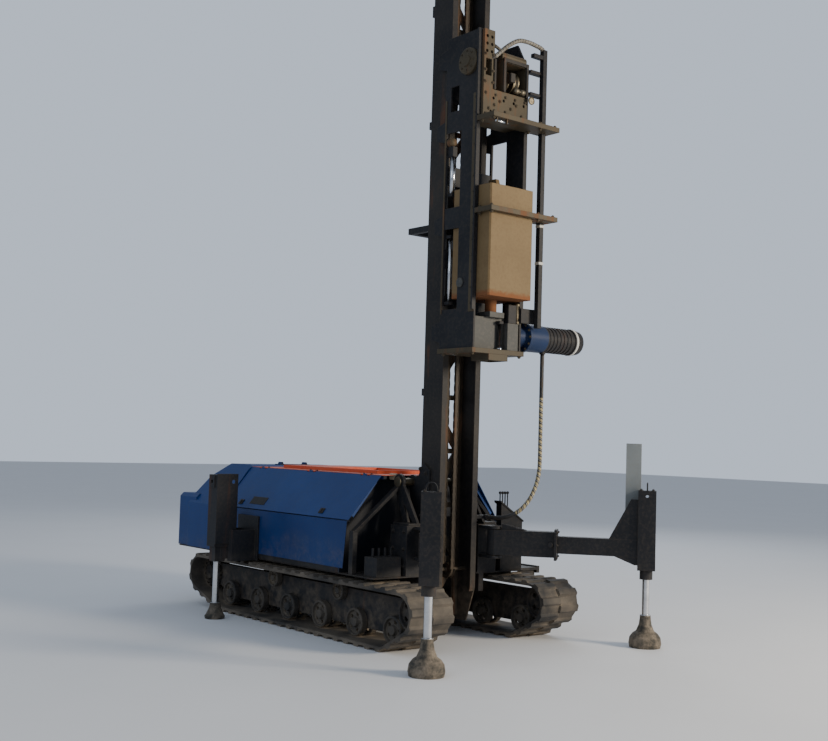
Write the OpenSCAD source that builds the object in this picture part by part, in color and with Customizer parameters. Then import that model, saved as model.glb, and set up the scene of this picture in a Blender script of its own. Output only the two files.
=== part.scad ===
// Tracked pile driver rig, standing on its tracks and four jacks with the mast upright.
// X runs forward to the mast, Y to the machine's left, Z up from the ground.

/* [Tracks] */
// Length of each track over its lugs
track_len = 3940; // [3900:10:4000]
// Half of the machine's width over the tracks
track_half = 1030; // [1025:1:1060]
// Width of each rubber track
track_w = 480; // [450:5:490]
// Height of the track loop over its lugs
track_h = 570; // [565:1:575]
// Thickness of the rubber belt
belt_t = 25; // [18:1:30]
// Height of each lug above the belt
lug_h = 22; // [15:1:26]
// Number of lugs round each track
lug_n = 52; // [44:2:58]
// Radius of each road wheel
wheel_r = 130; // [120:1:133]
// Width of each road wheel
wheel_w = 70; // [55:1:78]
// Number of road wheels along each track
wheel_n = 6; // [4:1:6]
// Radius of the top rollers
roller_r = 90; // [75:1:98]

/* [Hull] */
// Half width of the hull over the side panels
hull_half = 950; // [930:5:970]
// Height of the deck's upper face
deck_z = 612; // [605:1:620]
// Height of the crease between side panel and hatch
crease_z = 1100; // [1080:5:1120]
// Half width of the flat roof
roof_half = 600; // [560:5:640]
// Height of the flat roof's upper face
roof_z = 1530; // [1505:1:1535]
// Thickness of the sheet metal
sheet = 5; // [4:1:8]
// Length of the hood from its rear seam to its front edge
hood_len = 2345; // [2320:5:2345]
// Length of the housing behind the seam
tail_len = 1000; // [960:5:1040]

/* [Mast] */
// Height of the mast's pivot above the ground
pivot_z = 1470; // [1460:5:1480]
// Depth of each mast post
post_d = 280; // [260:5:290]
// Width of the mast over both posts
mast_w = 480; // [460:2:486]
// Width of each post's flange
post_flange = 65; // [55:1:75]
// Wall thickness of the mast posts
post_t = 12; // [9:1:14]
// Height of the mast's foot above the ground
foot_z = 150; // [140:5:200]
// Height of the mast's top cross head
mast_top = 6850; // [6750:10:6950]
// Height of one bay of the lattice
bay_h = 520; // [480:10:560]

/* [Carriage] */
// Height of the carriage's lower plate
car_z = 2730; // [2710:5:2780]
// Height of the middle flange plate
mid_z = 3965; // [3940:5:3990]
// Height of the upper flange plate
top_z = 4825; // [4790:5:4850]
// Thickness of the flange plates
flange_t = 45; // [30:1:50]
// Half width of the flange plates
flange_half = 326; // [322:1:328]
// Side of the square guide post
front_post = 50; // [40:1:54]
// Width of the ram
ram_w = 548; // [520:2:550]
// Depth of the ram
ram_d = 520; // [480:5:525]
// Height of the ram's block
ram_h = 1030; // [980:5:1040]
// Diameter of the gearbox on the drive head
gear_d = 265; // [250:5:270]
// Diameter of the drive motor
motor_d = 255; // [240:5:260]

/* [Outriggers] */
// Distance from each arm's pin to its jack
arm_len = 1440; // [1400:10:1460]
// Angle at which each arm stands out from the X axis
arm_angle = 40; // [36:1:43]
// Width of each arm's housing tube
arm_w = 150; // [130:2:160]
// Height of each arm's housing tube
arm_h = 240; // [224:2:246]
// Height of the arms' middle above the ground
arm_z = 915; // [900:1:920]
// Side of the front jacks' square tube
jack_w = 166; // [154:2:170]
// Height of the jack tubes' upper end
jack_top = 1460; // [1440:5:1500]
// Radius of the jack rods
rod_r = 34; // [28:1:38]
// Radius of the jack feet
foot_r = 152; // [140:1:165]

/* [Hidden] */

// Running gaps: seat between parts of one body, gap between moving bodies
seat = 0.3;
pin_gap = 0.5;
gap = 6;

// Track loop
track_mid = -30;
track_y = track_half - track_w / 2;
cover = belt_t + lug_h;
end_r = 165;
end_z = track_h - end_r - cover;
front_x = track_mid + track_len / 2 - end_r - cover;
rear_x = track_mid - track_len / 2 + end_r + cover;
wheel_z = wheel_r + cover;
wheel_first = front_x - 250;
wheel_last = rear_x + 435;
wheel_step = (wheel_first - wheel_last) / (wheel_n - 1);
wheel_xs = [for (i = [0:wheel_n - 1]) wheel_last + i * wheel_step];
roller_xs = [wheel_xs[1] + wheel_step / 2, wheel_xs[wheel_n - 2] - wheel_step / 2];
roller_z = track_h - cover - roller_r;
beam_xs = [(wheel_xs[0] + wheel_xs[1]) / 2, (wheel_xs[2] + wheel_xs[3]) / 2];
rail_w = 60;
pair_out = track_y + rail_w / 2;

// Hull
seam_x = -1460;
hood_x = seam_x + hood_len;
hood_foot_x = hood_x - 100;
tail_x = seam_x - tail_len;
deck_t = 12;
deck_under = deck_z - deck_t;
deck_edge = hull_half - 2 * sheet;
step_edge = deck_edge + 350;
slot_half = 310;
cheek_in = 325;
cheek_x0 = 1010;
cheek_x1 = 1255;
cheek_top = 1075;
cheek_out = cheek_in + 240;
rail_y = 345;
rail_t = 60;
rail_z = 430;
panel_z = deck_z + 45;

// Hinges between the roof and the hatches
hinge_xs = [seam_x + 250, (seam_x + hood_x) / 2, hood_x - 250];
hinge_pin_r = 3.5;
hinge_r = 7;

// Mast
pivot_x = 940;
mast_rear = pivot_x + 100;
mast_front = mast_rear + post_d;
post_in = mast_w / 2 - post_flange;
pin_r = 35;
trestle_in = 400;
trestle_t = 30;

mast_mid = mast_rear + post_d / 2;
crown_h = 260;
chain_r = 68;
cradle_x = -1562;
cradle_z = 1584;
rest_len = 320;
rest_z = 3900;

// Tilt cylinder between the deck and the mast's lugs
tilt_pin_x = 100;
tilt_pin_z = 720;
tilt_pin_r = 20;
tilt_rod_r = 30;
tilt_lug_x = pivot_x + 20;
tilt_lug_z = pivot_z - 500;
tilt_rise = atan2(tilt_lug_z - tilt_pin_z, tilt_lug_x - tilt_pin_x);
tilt_length = norm([tilt_lug_x - tilt_pin_x, tilt_lug_z - tilt_pin_z]);
tilt_gland = 790;
tilt_piston = 92;

// Carriage
axis_x = 1700;
plate_x = 1800;
side_in = 281;
side_t = 20;
flange_out = 25;
post_x = 1870;
post_y = 450;
post_low = 2960;
post_top = 5640;
ledge_x = 2030;
ledge_y = 525;
head_in = 200;
head_x0 = 1530;
head_mid = 1680;
head_x1 = plate_x + 30;
wheel_low = 5144;
wheel_top = 5460;
gear_in = 400;
gear_len = 250;
cap_in = 212;
ram_low = 3080;
lower_x = 1822;
head_top = 5700;
claw_zs = [car_z + 60, 3800, 4700, head_top - 300];
cross_zs = [car_z + 330, 3500, 4300, 5100];
ram_x = axis_x - ram_d / 2;
ram_z = 3200;

// Outriggers
arm_pin_x = 1400;
arm_pin_y = 405;
arm_pin_r = 30;
arm_eye_r = 72;
arm_tube_len = 605;
beam_in = 320;
beam_w = 116;
beam_h = 160;
jack_foot_z = 300;
jack_low = 715;
jack_collar = 630;
rear_jack_x = -890;
rear_jack_y = 1320;

// Hose route, from its anchor at the mast's foot up to the motor's underside
hose_r = 20;
hose_route = [[1352, 352, 1150], [1396, 352, 1150], [1440, 352, 1150], [1545, 362, 1157],
    [1639, 397, 1187], [1700, 459, 1245], [1724, 529, 1322], [1726, 591, 1407],
    [1719, 642, 1497], [1710, 677, 1597], [1705, 690, 1700], [1705, 690, 1908],
    [1705, 690, 2115], [1705, 690, 2323], [1705, 690, 2530], [1705, 690, 2738]];

// The origin lies under the middle of the footprint, from the housing's rear to the front feet
front_reach = arm_pin_x + arm_len * cos(arm_angle) + foot_r;
middle_x = (tail_x + front_reach) / 2;
module centred() {
    translate([-middle_x, 0, 0]) children();
}

// Draws a YZ outline from x0 to x1
module along_x(x0, x1) {
    translate([x0, 0, 0]) rotate([90, 0, 90]) linear_extrude(x1 - x0) children();
}

// Draws an XZ outline from y0 to y1
module along_y(y0, y1) {
    translate([0, y1, 0]) rotate([90, 0, 0]) linear_extrude(y1 - y0) children();
}

// A block between two corners
module block(a, b) {
    translate(a) cube(b - a);
}

// Both sides of the machine
module both() {
    for (s = [0, 1]) mirror([0, s, 0]) children();
}

// A round bar along Y
module bar_y(x, z, r, y0, y1) {
    translate([x, y1, z]) rotate([90, 0, 0]) cylinder(r = r, h = y1 - y0, $fn = 48);
}

// Outline of a belt round circles [x, z, r], as one list of [point, normal angle]
function unit(a) = [cos(a), sin(a)];
function turn(a, b) = b < a - 1e-6 ? turn(a, b + 360) : b;
function leave(c, d) =
    let (v = [d[0] - c[0], d[1] - c[1]])
    atan2(v[1], v[0]) - acos((c[2] - d[2]) / norm(v));
function belt(circles, off, step) =
    let (n = len(circles))
    [for (i = [0:n - 1])
        let (c = circles[i], a0 = leave(circles[(i + n - 1) % n], c),
            a1 = turn(a0, leave(c, circles[(i + 1) % n])),
            m = max(1, ceil((a1 - a0) / step)))
        for (k = [0:m]) let (a = a0 + (a1 - a0) * k / m)
            [c[0] + (c[2] + off) * cos(a), c[1] + (c[2] + off) * sin(a)]];
loop_circles = [[rear_x, end_z, end_r], [wheel_last, wheel_z, wheel_r],
    [wheel_first, wheel_z, wheel_r], [front_x, end_z, end_r]];

// Lugs are placed by distance along the belt's outer outline
function lengths(p) = [for (i = 0, s = 0; i <= len(p); s = s + norm(p[(i + 1) % len(p)] - p[i % len(p)]),
    i = i + 1) s];
function spot(p, l, s) =
    let (total = l[len(p)], t = s % total,
        i = [for (k = [0:len(p) - 1]) if (l[k] <= t && t < l[k + 1]) k][0],
        a = p[i], b = p[(i + 1) % len(p)])
    [a + (b - a) * (t - l[i]) / (l[i + 1] - l[i]), (b - a) / norm(b - a)];
function lugged(p, n, h, land, start) =
    let (l = lengths(p), pitch = l[len(p)] / n)
    [for (k = [0:n - 1], q = [[0, 0], [0.12, 1], [land - 0.12, 1], [land, 0]])
        let (f = spot(p, l, (k + start + q[0]) * pitch), u = f[1])
        f[0] + [u[1], -u[0]] * h * q[1]];

// Belt with two rows of lugs, set half a pitch apart
module track(side) {
    outline = belt(loop_circles, belt_t, 12);
    inner = belt(loop_circles, 0, 8);
    color([0.08, 0.08, 0.09]) translate([0, side * track_y, 0]) difference() {
        union() for (row = [0, 1])
            along_y(row == 0 ? -track_w / 2 : -1, row == 0 ? 1 : track_w / 2)
                polygon(lugged(outline, lug_n, lug_h, 0.55, row / 2));
        along_y(-track_w, track_w) polygon(inner);
    }
}

// Wheel from y = 0 outwards, with a dished face and five holes
module spoked_wheel(r, w, holes) {
    difference() {
        rotate_extrude($fn = 48)
            polygon([[0, 0], [r * 0.35, 0], [r * 0.4, w * 0.3], [r * 0.78, w * 0.3], [r * 0.84, 0],
                [r - 8, 0], [r, 8], [r, w - 8], [r - 8, w], [r * 0.84, w], [r * 0.78, w * 0.62],
                [r * 0.4, w * 0.62], [r * 0.32, w], [0, w]]);
        for (k = [0:holes - 1]) rotate(k * 360 / holes) translate([r * 0.59, 0, -1])
            cylinder(r = r * 0.15, h = w + 2, $fn = 24);
    }
}

// Pair of wheels with the axle between them
module wheel_pair(x, z, r) {
    for (s = [-1, 1]) translate([x, track_y + s * (rail_w / 2 + seat), z]) rotate([-90 * s, 0, 0])
        spoked_wheel(r, wheel_w, 5);
}

module road_wheels() {
    color([0.12, 0.12, 0.13]) both() {
        for (x = wheel_xs) wheel_pair(x, wheel_z, wheel_r - 0.7);
        for (x = roller_xs) wheel_pair(x, roller_z, roller_r - seat);
    }
}

module idlers() {
    color([0.13, 0.13, 0.14]) both() wheel_pair(front_x, end_z, end_r - 0.7);
}

// Toothed rim on two sides of the rear hub
module drive_sprockets() {
    teeth = 17;
    color([0.15, 0.14, 0.13]) both() for (s = [-1, 1])
        translate([rear_x, track_y + s * (rail_w / 2 + seat), end_z]) rotate([-90 * s, 0, 0])
            difference() {
                union() {
                    linear_extrude(wheel_w * 0.5)
                        polygon([for (k = [0:teeth - 1], q = [[-0.3, 0], [-0.18, 1], [0.18, 1], [0.3, 0]])
                            (end_r - 0.7 - 22 * (1 - q[1])) * unit((k + q[0]) * 360 / teeth)]);
                    cylinder(r = 70, h = wheel_w, $fn = 48);
                }
                for (k = [0:5]) rotate(k * 60) translate([100, 0, -1])
                    cylinder(r = 17, h = wheel_w, $fn = 24);
            }
}

// Side rail inside each track loop, from the rear hub to the idler
module track_frames() {
    color([0.1, 0.1, 0.11]) both()
        along_y(track_y - rail_w / 2, track_y + rail_w / 2)
            polygon([[rear_x - 60, end_z - 50], [wheel_last - 40, wheel_z - 45],
                [wheel_first + 40, wheel_z - 45], [front_x + 60, end_z - 50], [front_x + 60, end_z + 50],
                [front_x - 120, roller_z + 30], [rear_x + 120, roller_z + 30], [rear_x - 60, end_z + 50]]);
}

module chassis_frame() {
    color([0.07, 0.075, 0.085]) difference() {
        union() {
            // Deck plate with a slot for the mast
            difference() {
                block([tail_x + 40, -deck_edge, deck_under], [cheek_x1, deck_edge, deck_z]);
                block([pivot_x - 150, -slot_half, deck_under - 1], [cheek_x1 + 1, slot_half, deck_z + 1]);
            }
            both() {
                // Main rails and cheeks
                block([tail_x + 90, rail_y, rail_z], [cheek_x1, rail_y + rail_t, deck_under + 1]);
                block([cheek_x0, cheek_in, deck_under], [cheek_x1, cheek_out, cheek_top]);
                // Lugs that carry the outrigger's pin
                for (z = [arm_z - arm_h / 2 - gap - 28, arm_z + arm_h / 2 + gap])
                    translate([0, 0, z]) linear_extrude(28) difference() {
                        union() {
                            translate([arm_pin_x, arm_pin_y]) circle(r = arm_eye_r, $fn = 64);
                            translate([cheek_x1 - 20, arm_pin_y - arm_eye_r])
                                square([arm_pin_x - cheek_x1 + 20, 2 * arm_eye_r]);
                        }
                        translate([arm_pin_x, arm_pin_y]) circle(r = arm_pin_r, $fn = 64);
                    }
                // Pin through both lugs
                translate([arm_pin_x, arm_pin_y, arm_z - arm_h / 2 - gap - 32])
                    cylinder(r = arm_pin_r, h = arm_h + 2 * gap + 64, $fn = 64);
            }
            // Sill inside the foot of each side panel
            both() for (x = [[seam_x + 6, rear_jack_x - 75], [rear_jack_x + 75, hood_x - 161]])
                block([x[0], hull_half - sheet - 18, deck_z - 1], [x[1], hull_half - sheet - seat,
                    panel_z + 30]);
            // Rear cross tube with the tow lug
            block([tail_x + 90, -rail_y - 5, rail_z], [tail_x + 150, rail_y + 5, deck_under + 1]);
            along_y(-15, 15) difference() {
                union() {
                    translate([tail_x + 50, 515]) circle(r = 45, $fn = 48);
                    translate([tail_x + 50, 470]) square([60, 90]);
                }
                translate([tail_x + 50, 515]) circle(r = 21, $fn = 48);
            }
            // Lugs and pin of the tilt cylinder
            both() along_y(31, 51) {
                translate([tilt_pin_x, tilt_pin_z]) circle(r = 48, $fn = 48);
                translate([tilt_pin_x - 48, deck_z - 5]) square([96, tilt_pin_z - deck_z + 5]);
            }
            bar_y(tilt_pin_x, tilt_pin_z, tilt_pin_r, -60, 60);
            // Cross beams out to the track frames
            for (x = beam_xs) block([x - 70, -(track_y - rail_w / 2), 260], [x + 70,
                track_y - rail_w / 2, rail_z + 1]);
            for (x = [-1600, -200]) block([x - 40, -rail_y - 5, rail_z], [x + 40, rail_y + 5,
                deck_under + 1]);
        }
    }
}

// Slanted front edge of the hood, as an XZ outline that keeps what is behind it
module behind_front(x0, back) {
    along_y(-1100, 1100)
        polygon([[x0, 0], [hood_foot_x - back, 0], [hood_foot_x - back, deck_z],
            [hood_x - back, roof_z], [hood_x - back, 3000], [x0, 3000]]);
}

module hood_shell() {
    inner = hull_half - sheet;
    color([0.05, 0.17, 0.42]) difference() {
        intersection() {
            union() {
                both() {
                    // Lower side panel with its turned-in top edge
                    along_x(seam_x, hood_x)
                        polygon([[inner, panel_z], [hull_half, panel_z], [hull_half, crease_z],
                            [hull_half - 40, crease_z], [hull_half - 40, crease_z - sheet],
                            [inner, crease_z - sheet]]);
                    // Rail under the roof's edge
                    block([seam_x, roof_half - 70, roof_z - 2 * sheet - 30], [hood_x, roof_half - 30,
                        roof_z - sheet - seat]);
                }
                // Bulkheads at the seam and behind the front edge
                for (x = [seam_x, hood_x - 160]) along_x(x, x + sheet)
                    polygon([[inner, deck_z + seat], [inner, crease_z - 30], [inner - 60, crease_z - sheet],
                        [roof_half - 30, roof_z - sheet - seat], [30 - roof_half, roof_z - sheet - seat],
                        [60 - inner, crease_z - sheet], [-inner, crease_z - 30], [-inner, deck_z + seat]]);
            }
            behind_front(seam_x - 1, 0);
        }
        // Way for the tilt cylinder, and openings for the rear jacks' cross tube
        block([hood_x - 200, -140, deck_z - 10], [hood_x, 140, 1300]);
        block([rear_jack_x - 75, -1000, deck_z - 40], [rear_jack_x + 75, 1000, deck_z + 165]);
    }
}

// Roof sheet with the fixed knuckles and the pins of the hatches' hinges
module hood_roof() {
    edge = roof_half - gap - 2;
    color([0.85, 0.25, 0.12]) union() {
        block([seam_x, -edge, roof_z - sheet], [hood_x, edge, roof_z]);
        // Raised lid with a sunk tray in its front half
        difference() {
            block([seam_x + 330, -400, roof_z - 1], [hood_x - 330, 400, roof_z + 34]);
            block([-420, -350, roof_z + 8], [hood_x - 380, 350, roof_z + 35]);
        }
        both() for (x = hinge_xs) {
            along_x(x - 70, x + 70) hinge_axis() circle(r = hinge_pin_r, $fn = 24);
            for (s = [-51, 51]) along_x(x + s - 19, x + s + 19) {
                hinge_axis() circle(r = hinge_r, $fn = 32);
                translate([edge - 1, roof_z - sheet]) square([roof_half - edge + 1, sheet]);
            }
        }
    }
}

// Axis of a hatch's hinge, as a place in a YZ outline
module hinge_axis() {
    translate([roof_half, roof_z - 3]) children();
}

// Sloping panel, hinged along the roof's edge
module hatch(side) {
    run = [hull_half - roof_half, crease_z - roof_z];
    u = run / norm(run);
    n = [u[1], -u[0]] * -1;
    a = [roof_half, roof_z - 3];
    b = a + u * (norm(run) - 16);
    color([0.05, 0.18, 0.45]) mirror([0, side < 0 ? 1 : 0, 0]) difference() {
        intersection() {
            union() {
                along_x(seam_x + gap, hood_x - 2)
                    polygon([a, b, b - n * sheet, a - n * sheet + u * 3]);
                // Stiffening folds at both ends
                for (x = [seam_x + gap + 8, hood_x - 60]) along_x(x, x + sheet)
                    polygon([a + u * 60 - n, b - u * 60 - n, b - u * 60 - n * 40, a + u * 60 - n * 40]);
                for (x = hinge_xs) along_x(x - 30, x + 30) hinge_axis() circle(r = hinge_r, $fn = 32);
            }
            behind_front(seam_x, 0);
        }
        // Room for the hinge pins and the roof's knuckles
        for (x = hinge_xs) {
            along_x(x - 76, x + 76) hinge_axis() circle(r = hinge_pin_r + pin_gap, $fn = 24);
            for (s = [-53.5, 53.5]) along_x(x + s - 22.5, x + s + 22.5) hinge_axis()
                circle(r = hinge_r + 5, $fn = 32);
        }
    }
}

// Tank and cooler housing behind the seam
module rear_housing() {
    low = 1200;
    color([0.045, 0.15, 0.38]) union() {
        intersection() {
            along_y(-hull_half, hull_half)
                polygon([[seam_x - 760, deck_z + seat], [seam_x - 1, deck_z + seat], [seam_x - 1,
                    roof_z + 20],
                    [seam_x - 440, roof_z + 20], [seam_x - 680, 1400], [seam_x - 760, low]]);
            along_x(seam_x - 761, seam_x)
                polygon([[hull_half, deck_z], [hull_half, crease_z], [roof_half, roof_z + 21],
                    [-roof_half, roof_z + 21], [-hull_half, crease_z], [-hull_half, deck_z]]);
        }
        // Low tank behind, with bevelled top edges
        along_x(tail_x, seam_x - 620) polygon([[hull_half - 20, deck_z + seat], [hull_half - 20, low - 40],
            [hull_half - 60, low], [60 - hull_half, low], [20 - hull_half, low - 40], [20 - hull_half,
                deck_z + seat]]);
    }
}

module engine_block() {
    color([0.2, 0.2, 0.2]) block([-800, -330, deck_z + seat], [30, 330, 1290]);
}

module operator_platform() {
    color([0.12, 0.12, 0.13]) union() {
        block([300, deck_edge + seat, deck_z - 30], [1140, step_edge, deck_z - 2]);
        for (x = [340, 1070]) block([x, track_half + 12, deck_z - 90], [x + 40, step_edge - 40,
            deck_z - 29]);
        block([300, step_edge - 40, deck_z - 60], [1140, step_edge, deck_z + 10]);
    }
}

// Low cabinet whose lid falls outwards, with a row of short levers
module lever_console() {
    y = cheek_out + 75;
    y1 = deck_edge - 10;
    color([0.14, 0.14, 0.15]) union() {
        along_x(1165, 1240) polygon([[y, deck_z + seat], [y1, deck_z + seat], [y1, 1110], [y, 1290]]);
        along_x(1150, 1250) polygon([[y - 15, 1280], [y1 + 10, 1085], [y1 + 10, 1100], [y - 15, 1298]]);
        for (k = [0:3]) translate([1200, y + 15 + k * 34, 1185]) {
            cylinder(r = 6, h = 190, $fn = 24);
            translate([0, 0, 190]) sphere(r = 15, $fn = 24);
        }
    }
}

module valve_block() {
    y = cheek_out + 35;
    wide = deck_edge - 60 - y;
    color([0.16, 0.16, 0.17]) union() {
        block([cheek_x0 + 25, -y - wide, deck_z + seat], [cheek_x0 + 215, -y, 790]);
        for (k = [0:3]) translate([cheek_x0 + 110, -y - wide / 7 - k * wide / 4, 780])
            cylinder(r = 12, h = 90, $fn = 24);
    }
}

// Trestle on each side whose apex holds the mast's pin
module mast_trestles() {
    y1 = trestle_in + trestle_t;
    color([0.09, 0.09, 0.1]) both() difference() {
        union() {
            along_y(trestle_in, y1) {
                translate([pivot_x, pivot_z]) circle(r = 75, $fn = 64);
                polygon([[pivot_x - 60, pivot_z - 40], [pivot_x + 20, pivot_z - 65], [cheek_x0 + 90,
                    cheek_top + seat],
                    [cheek_x0 + 20, cheek_top + seat]]);
                polygon([[pivot_x - 20, pivot_z - 62], [pivot_x + 68, pivot_z - 25], [cheek_x1 - 10,
                    cheek_top + seat],
                    [cheek_x1 - 80, cheek_top + seat]]);
            }
            // Foot plate on the cheek
            block([cheek_x0 + 10, trestle_in, cheek_top + seat], [cheek_x1 - 5, cheek_in + 220,
                cheek_top + 20]);
            // Splayed leg out to a short post at the deck's edge
            translate([pivot_x, trestle_in + trestle_t / 2, pivot_z - 30]) splayed_leg();
            block([pivot_x - 85, deck_edge - 60, deck_z + seat], [pivot_x - 25, deck_edge - 10, 1015]);
        }
        bar_y(pivot_x, pivot_z, pin_r + pin_gap, 0, 1000);
        // Room for the pin's head
        bar_y(pivot_x, pivot_z, pin_r + 17, y1 + 0.5, y1 + 60);
    }
}

// Square tube from the trestle's apex out to its post, as a skewed bar
module splayed_leg() {
    drop = pivot_z - 30 - 1000;
    foot = [-55, deck_edge - 35 - trestle_in - trestle_t / 2];
    multmatrix([[1, 0, -foot[0] / drop, 0], [0, 1, -foot[1] / drop, 0], [0, 0, 1, 0]])
        translate([-30, -25, -drop]) cube([60, 50, drop]);
}

module pivot_pin() {
    color([0.6, 0.6, 0.6]) both()
        union() {
            bar_y(pivot_x, pivot_z, pin_r, 0, trestle_in + trestle_t + 12);
            bar_y(pivot_x, pivot_z, pin_r + 14, trestle_in + trestle_t + 1, trestle_in + trestle_t + 18);
        }
}

module mast_cradle() {
    x = cradle_x;
    color([0.05, 0.13, 0.3]) union() {
        block([x - 60, -200, roof_z + 20 + seat], [x + 60, 200, roof_z + 30]);
        for (y = [-170, 150]) along_y(y, y + 20)
            polygon([[x - 50, roof_z + 29], [x + 50, roof_z + 29], [x + 30, cradle_z], [x - 30, cradle_z]]);
    }
}

// Tilt cylinder in its own frame: x along the cylinder from the barrel's pin
module on_tilt() {
    translate([tilt_pin_x, 0, tilt_pin_z]) rotate([0, -tilt_rise, 0]) children();
}

module tilt_barrel() {
    color([0.1, 0.1, 0.11]) on_tilt() difference() {
        union() {
            rotate([90, 0, 0]) translate([0, 0, -25]) cylinder(r = 45, h = 50, $fn = 48);
            rotate([0, 90, 0]) cylinder(r = 52, h = tilt_gland, $fn = 48);
            translate([tilt_gland - 45, 0, 0]) rotate([0, 90, 0]) cylinder(r = 60, h = 45, $fn = 48);
        }
        rotate([90, 0, 0]) translate([0, 0, -70]) cylinder(r = tilt_pin_r + pin_gap, h = 140, $fn = 48);
        translate([56, 0, 0]) rotate([0, 90, 0]) cylinder(r = 42, h = tilt_gland - 56 - 42, $fn = 48);
        rotate([0, 90, 0]) translate([0, 0, 60]) cylinder(r = tilt_rod_r + pin_gap, h = tilt_gland,
            $fn = 48);
        // The eye stays clear of the lugs on both sides
        for (s = [-1, 1]) translate([-60, s > 0 ? 25 : -85, -60]) cube([112, 60, 120]);
    }
}

module tilt_rod() {
    color([0.75, 0.75, 0.77]) on_tilt() union() {
        translate([tilt_piston, 0, 0]) rotate([0, 90, 0]) cylinder(r = 41, h = 34, $fn = 48);
        translate([tilt_piston, 0, 0]) rotate([0, 90, 0])
            cylinder(r = tilt_rod_r, h = tilt_length - tilt_piston - 20, $fn = 48);
        translate([tilt_length, 25, 0]) rotate([90, 0, 0]) cylinder(r = 40, h = 50, $fn = 48);
    }
}

module mast_posts() {
    color([0.1, 0.1, 0.105]) both() difference() {
        translate([0, 0, foot_z]) linear_extrude(mast_top - crown_h - foot_z)
            polygon([[mast_rear, post_in], [mast_rear, mast_w / 2], [mast_front, mast_w / 2],
                [mast_front, post_in], [mast_front - post_t, post_in],
                [mast_front - post_t, mast_w / 2 - post_t], [mast_rear + post_t, mast_w / 2 - post_t],
                [mast_rear + post_t, post_in]]);
        // The foot tapers to the front
        along_y(0, mast_w) polygon([[mast_front - 110, foot_z - 1], [mast_front + 1, foot_z - 1],
            [mast_front + 1, foot_z + 330]]);
    }
}

// Lacing behind the posts: side strips, rungs and diagonals
module mast_lattice() {
    inner = mast_w / 2 - post_t - seat;
    x0 = mast_rear + post_t + seat;
    z0 = foot_z + 40;
    bays = floor((mast_top - crown_h - 40 - z0) / bay_h);
    color([0.13, 0.12, 0.1]) along_x(x0, x0 + 26) difference() {
        translate([-inner, z0]) square([2 * inner, bays * bay_h + 50]);
        // Two three-cornered windows in each bay leave the diagonal between them
        for (k = [0:bays - 1], t = [-1, 1]) let (s = k % 2 == 0 ? 1 : -1,
            z = z0 + k * bay_h + 25 + bay_h / 2)
            translate([0, z]) polygon([
                [t * s * (inner - 50), t * (bay_h / 2 - 85)], [t * s * (inner - 50), -t * (bay_h / 2 - 25)],
                [-t * s * (inner - 100), -t * (bay_h / 2 - 25)]]);
    }
}

// Cross head that closes the mast's top, with its chain wheel and lifting eye
module mast_crown() {
    z = mast_top - crown_h + seat;
    color([0.1, 0.1, 0.105]) difference() {
        union() {
            block([mast_rear - 10, -mast_w / 2, z], [mast_front + 10, mast_w / 2, z + 16]);
            both() block([mast_rear, post_in + 20, z], [mast_front, post_in + 40, mast_top]);
            block([mast_rear + 20, -post_in - 21, mast_top - 60], [mast_rear + 60, post_in + 21,
                mast_top - 20]);
            block([mast_front - 60, -post_in - 21, mast_top - 60], [mast_front - 20, post_in + 21,
                mast_top - 20]);
            along_y(-12, 12) translate([mast_mid, mast_top - 60]) {
                circle(r = 60, $fn = 48);
                translate([-post_d / 2 + 30, -10]) square([post_d - 60, 40]);
            }
        }
        bar_y(mast_mid, mast_top - 50, 25, -20, 20);
        // Way for the shackle's pin past the cheeks
        both() block([mast_mid - 32, post_in + 10, mast_top - 85], [mast_mid + 32, post_in + 50,
            mast_top + 1]);
        // Opening for the lift chain
        block([mast_mid - chain_r - 25, -50, z - 1], [mast_mid + chain_r + 25, 50, z + 20]);
    }
}

// Saddle behind and beside the posts, with the pivot's ears and the tilt cylinder's lugs
module mast_bracket() {
    y0 = mast_w / 2 + seat;
    color([0.09, 0.09, 0.1]) difference() {
        union() {
            both() along_y(y0, y0 + 24) {
                translate([pivot_x, pivot_z]) circle(r = 68, $fn = 64);
                polygon([[pivot_x - 40, pivot_z - 55], [mast_rear - 34, pivot_z - 570],
                    [mast_rear + 60, pivot_z - 570],
                    [mast_rear + 150, pivot_z - 100], [mast_rear + 150, pivot_z + 120],
                    [mast_rear + 60, pivot_z + 190], [pivot_x + 90, pivot_z + 62], [pivot_x + 40,
                        pivot_z + 50]]);
            }
            block([mast_rear - 24, -y0 - 1, pivot_z - 570], [mast_rear - seat, y0 + 1, pivot_z - 330]);
            block([mast_rear - 24, -y0 - 1, pivot_z + 60], [mast_rear - seat, y0 + 1, pivot_z + 130]);
            both() along_y(31, 51)
                polygon([[mast_rear - 20, tilt_lug_z + 90], [pivot_x - 20, tilt_lug_z + 40],
                    [pivot_x - 20, tilt_lug_z - 40], [mast_rear - 20, tilt_lug_z - 60]]);
        }
        bar_y(pivot_x, pivot_z, pin_r + pin_gap, -400, 400);
    }
}

// Bar behind the mast that lands on the cradle when the mast lies back
module mast_rest() {
    z = rest_z;
    x = mast_rear - rest_len;
    color([0.1, 0.1, 0.105]) union() {
        both() block([x, mast_w / 2 - 60, z], [mast_rear - seat, mast_w / 2 - 10, z + 60]);
        block([x, 10 - mast_w / 2, z], [x + 60, mast_w / 2 - 10, z + 60]);
    }
}

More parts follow.
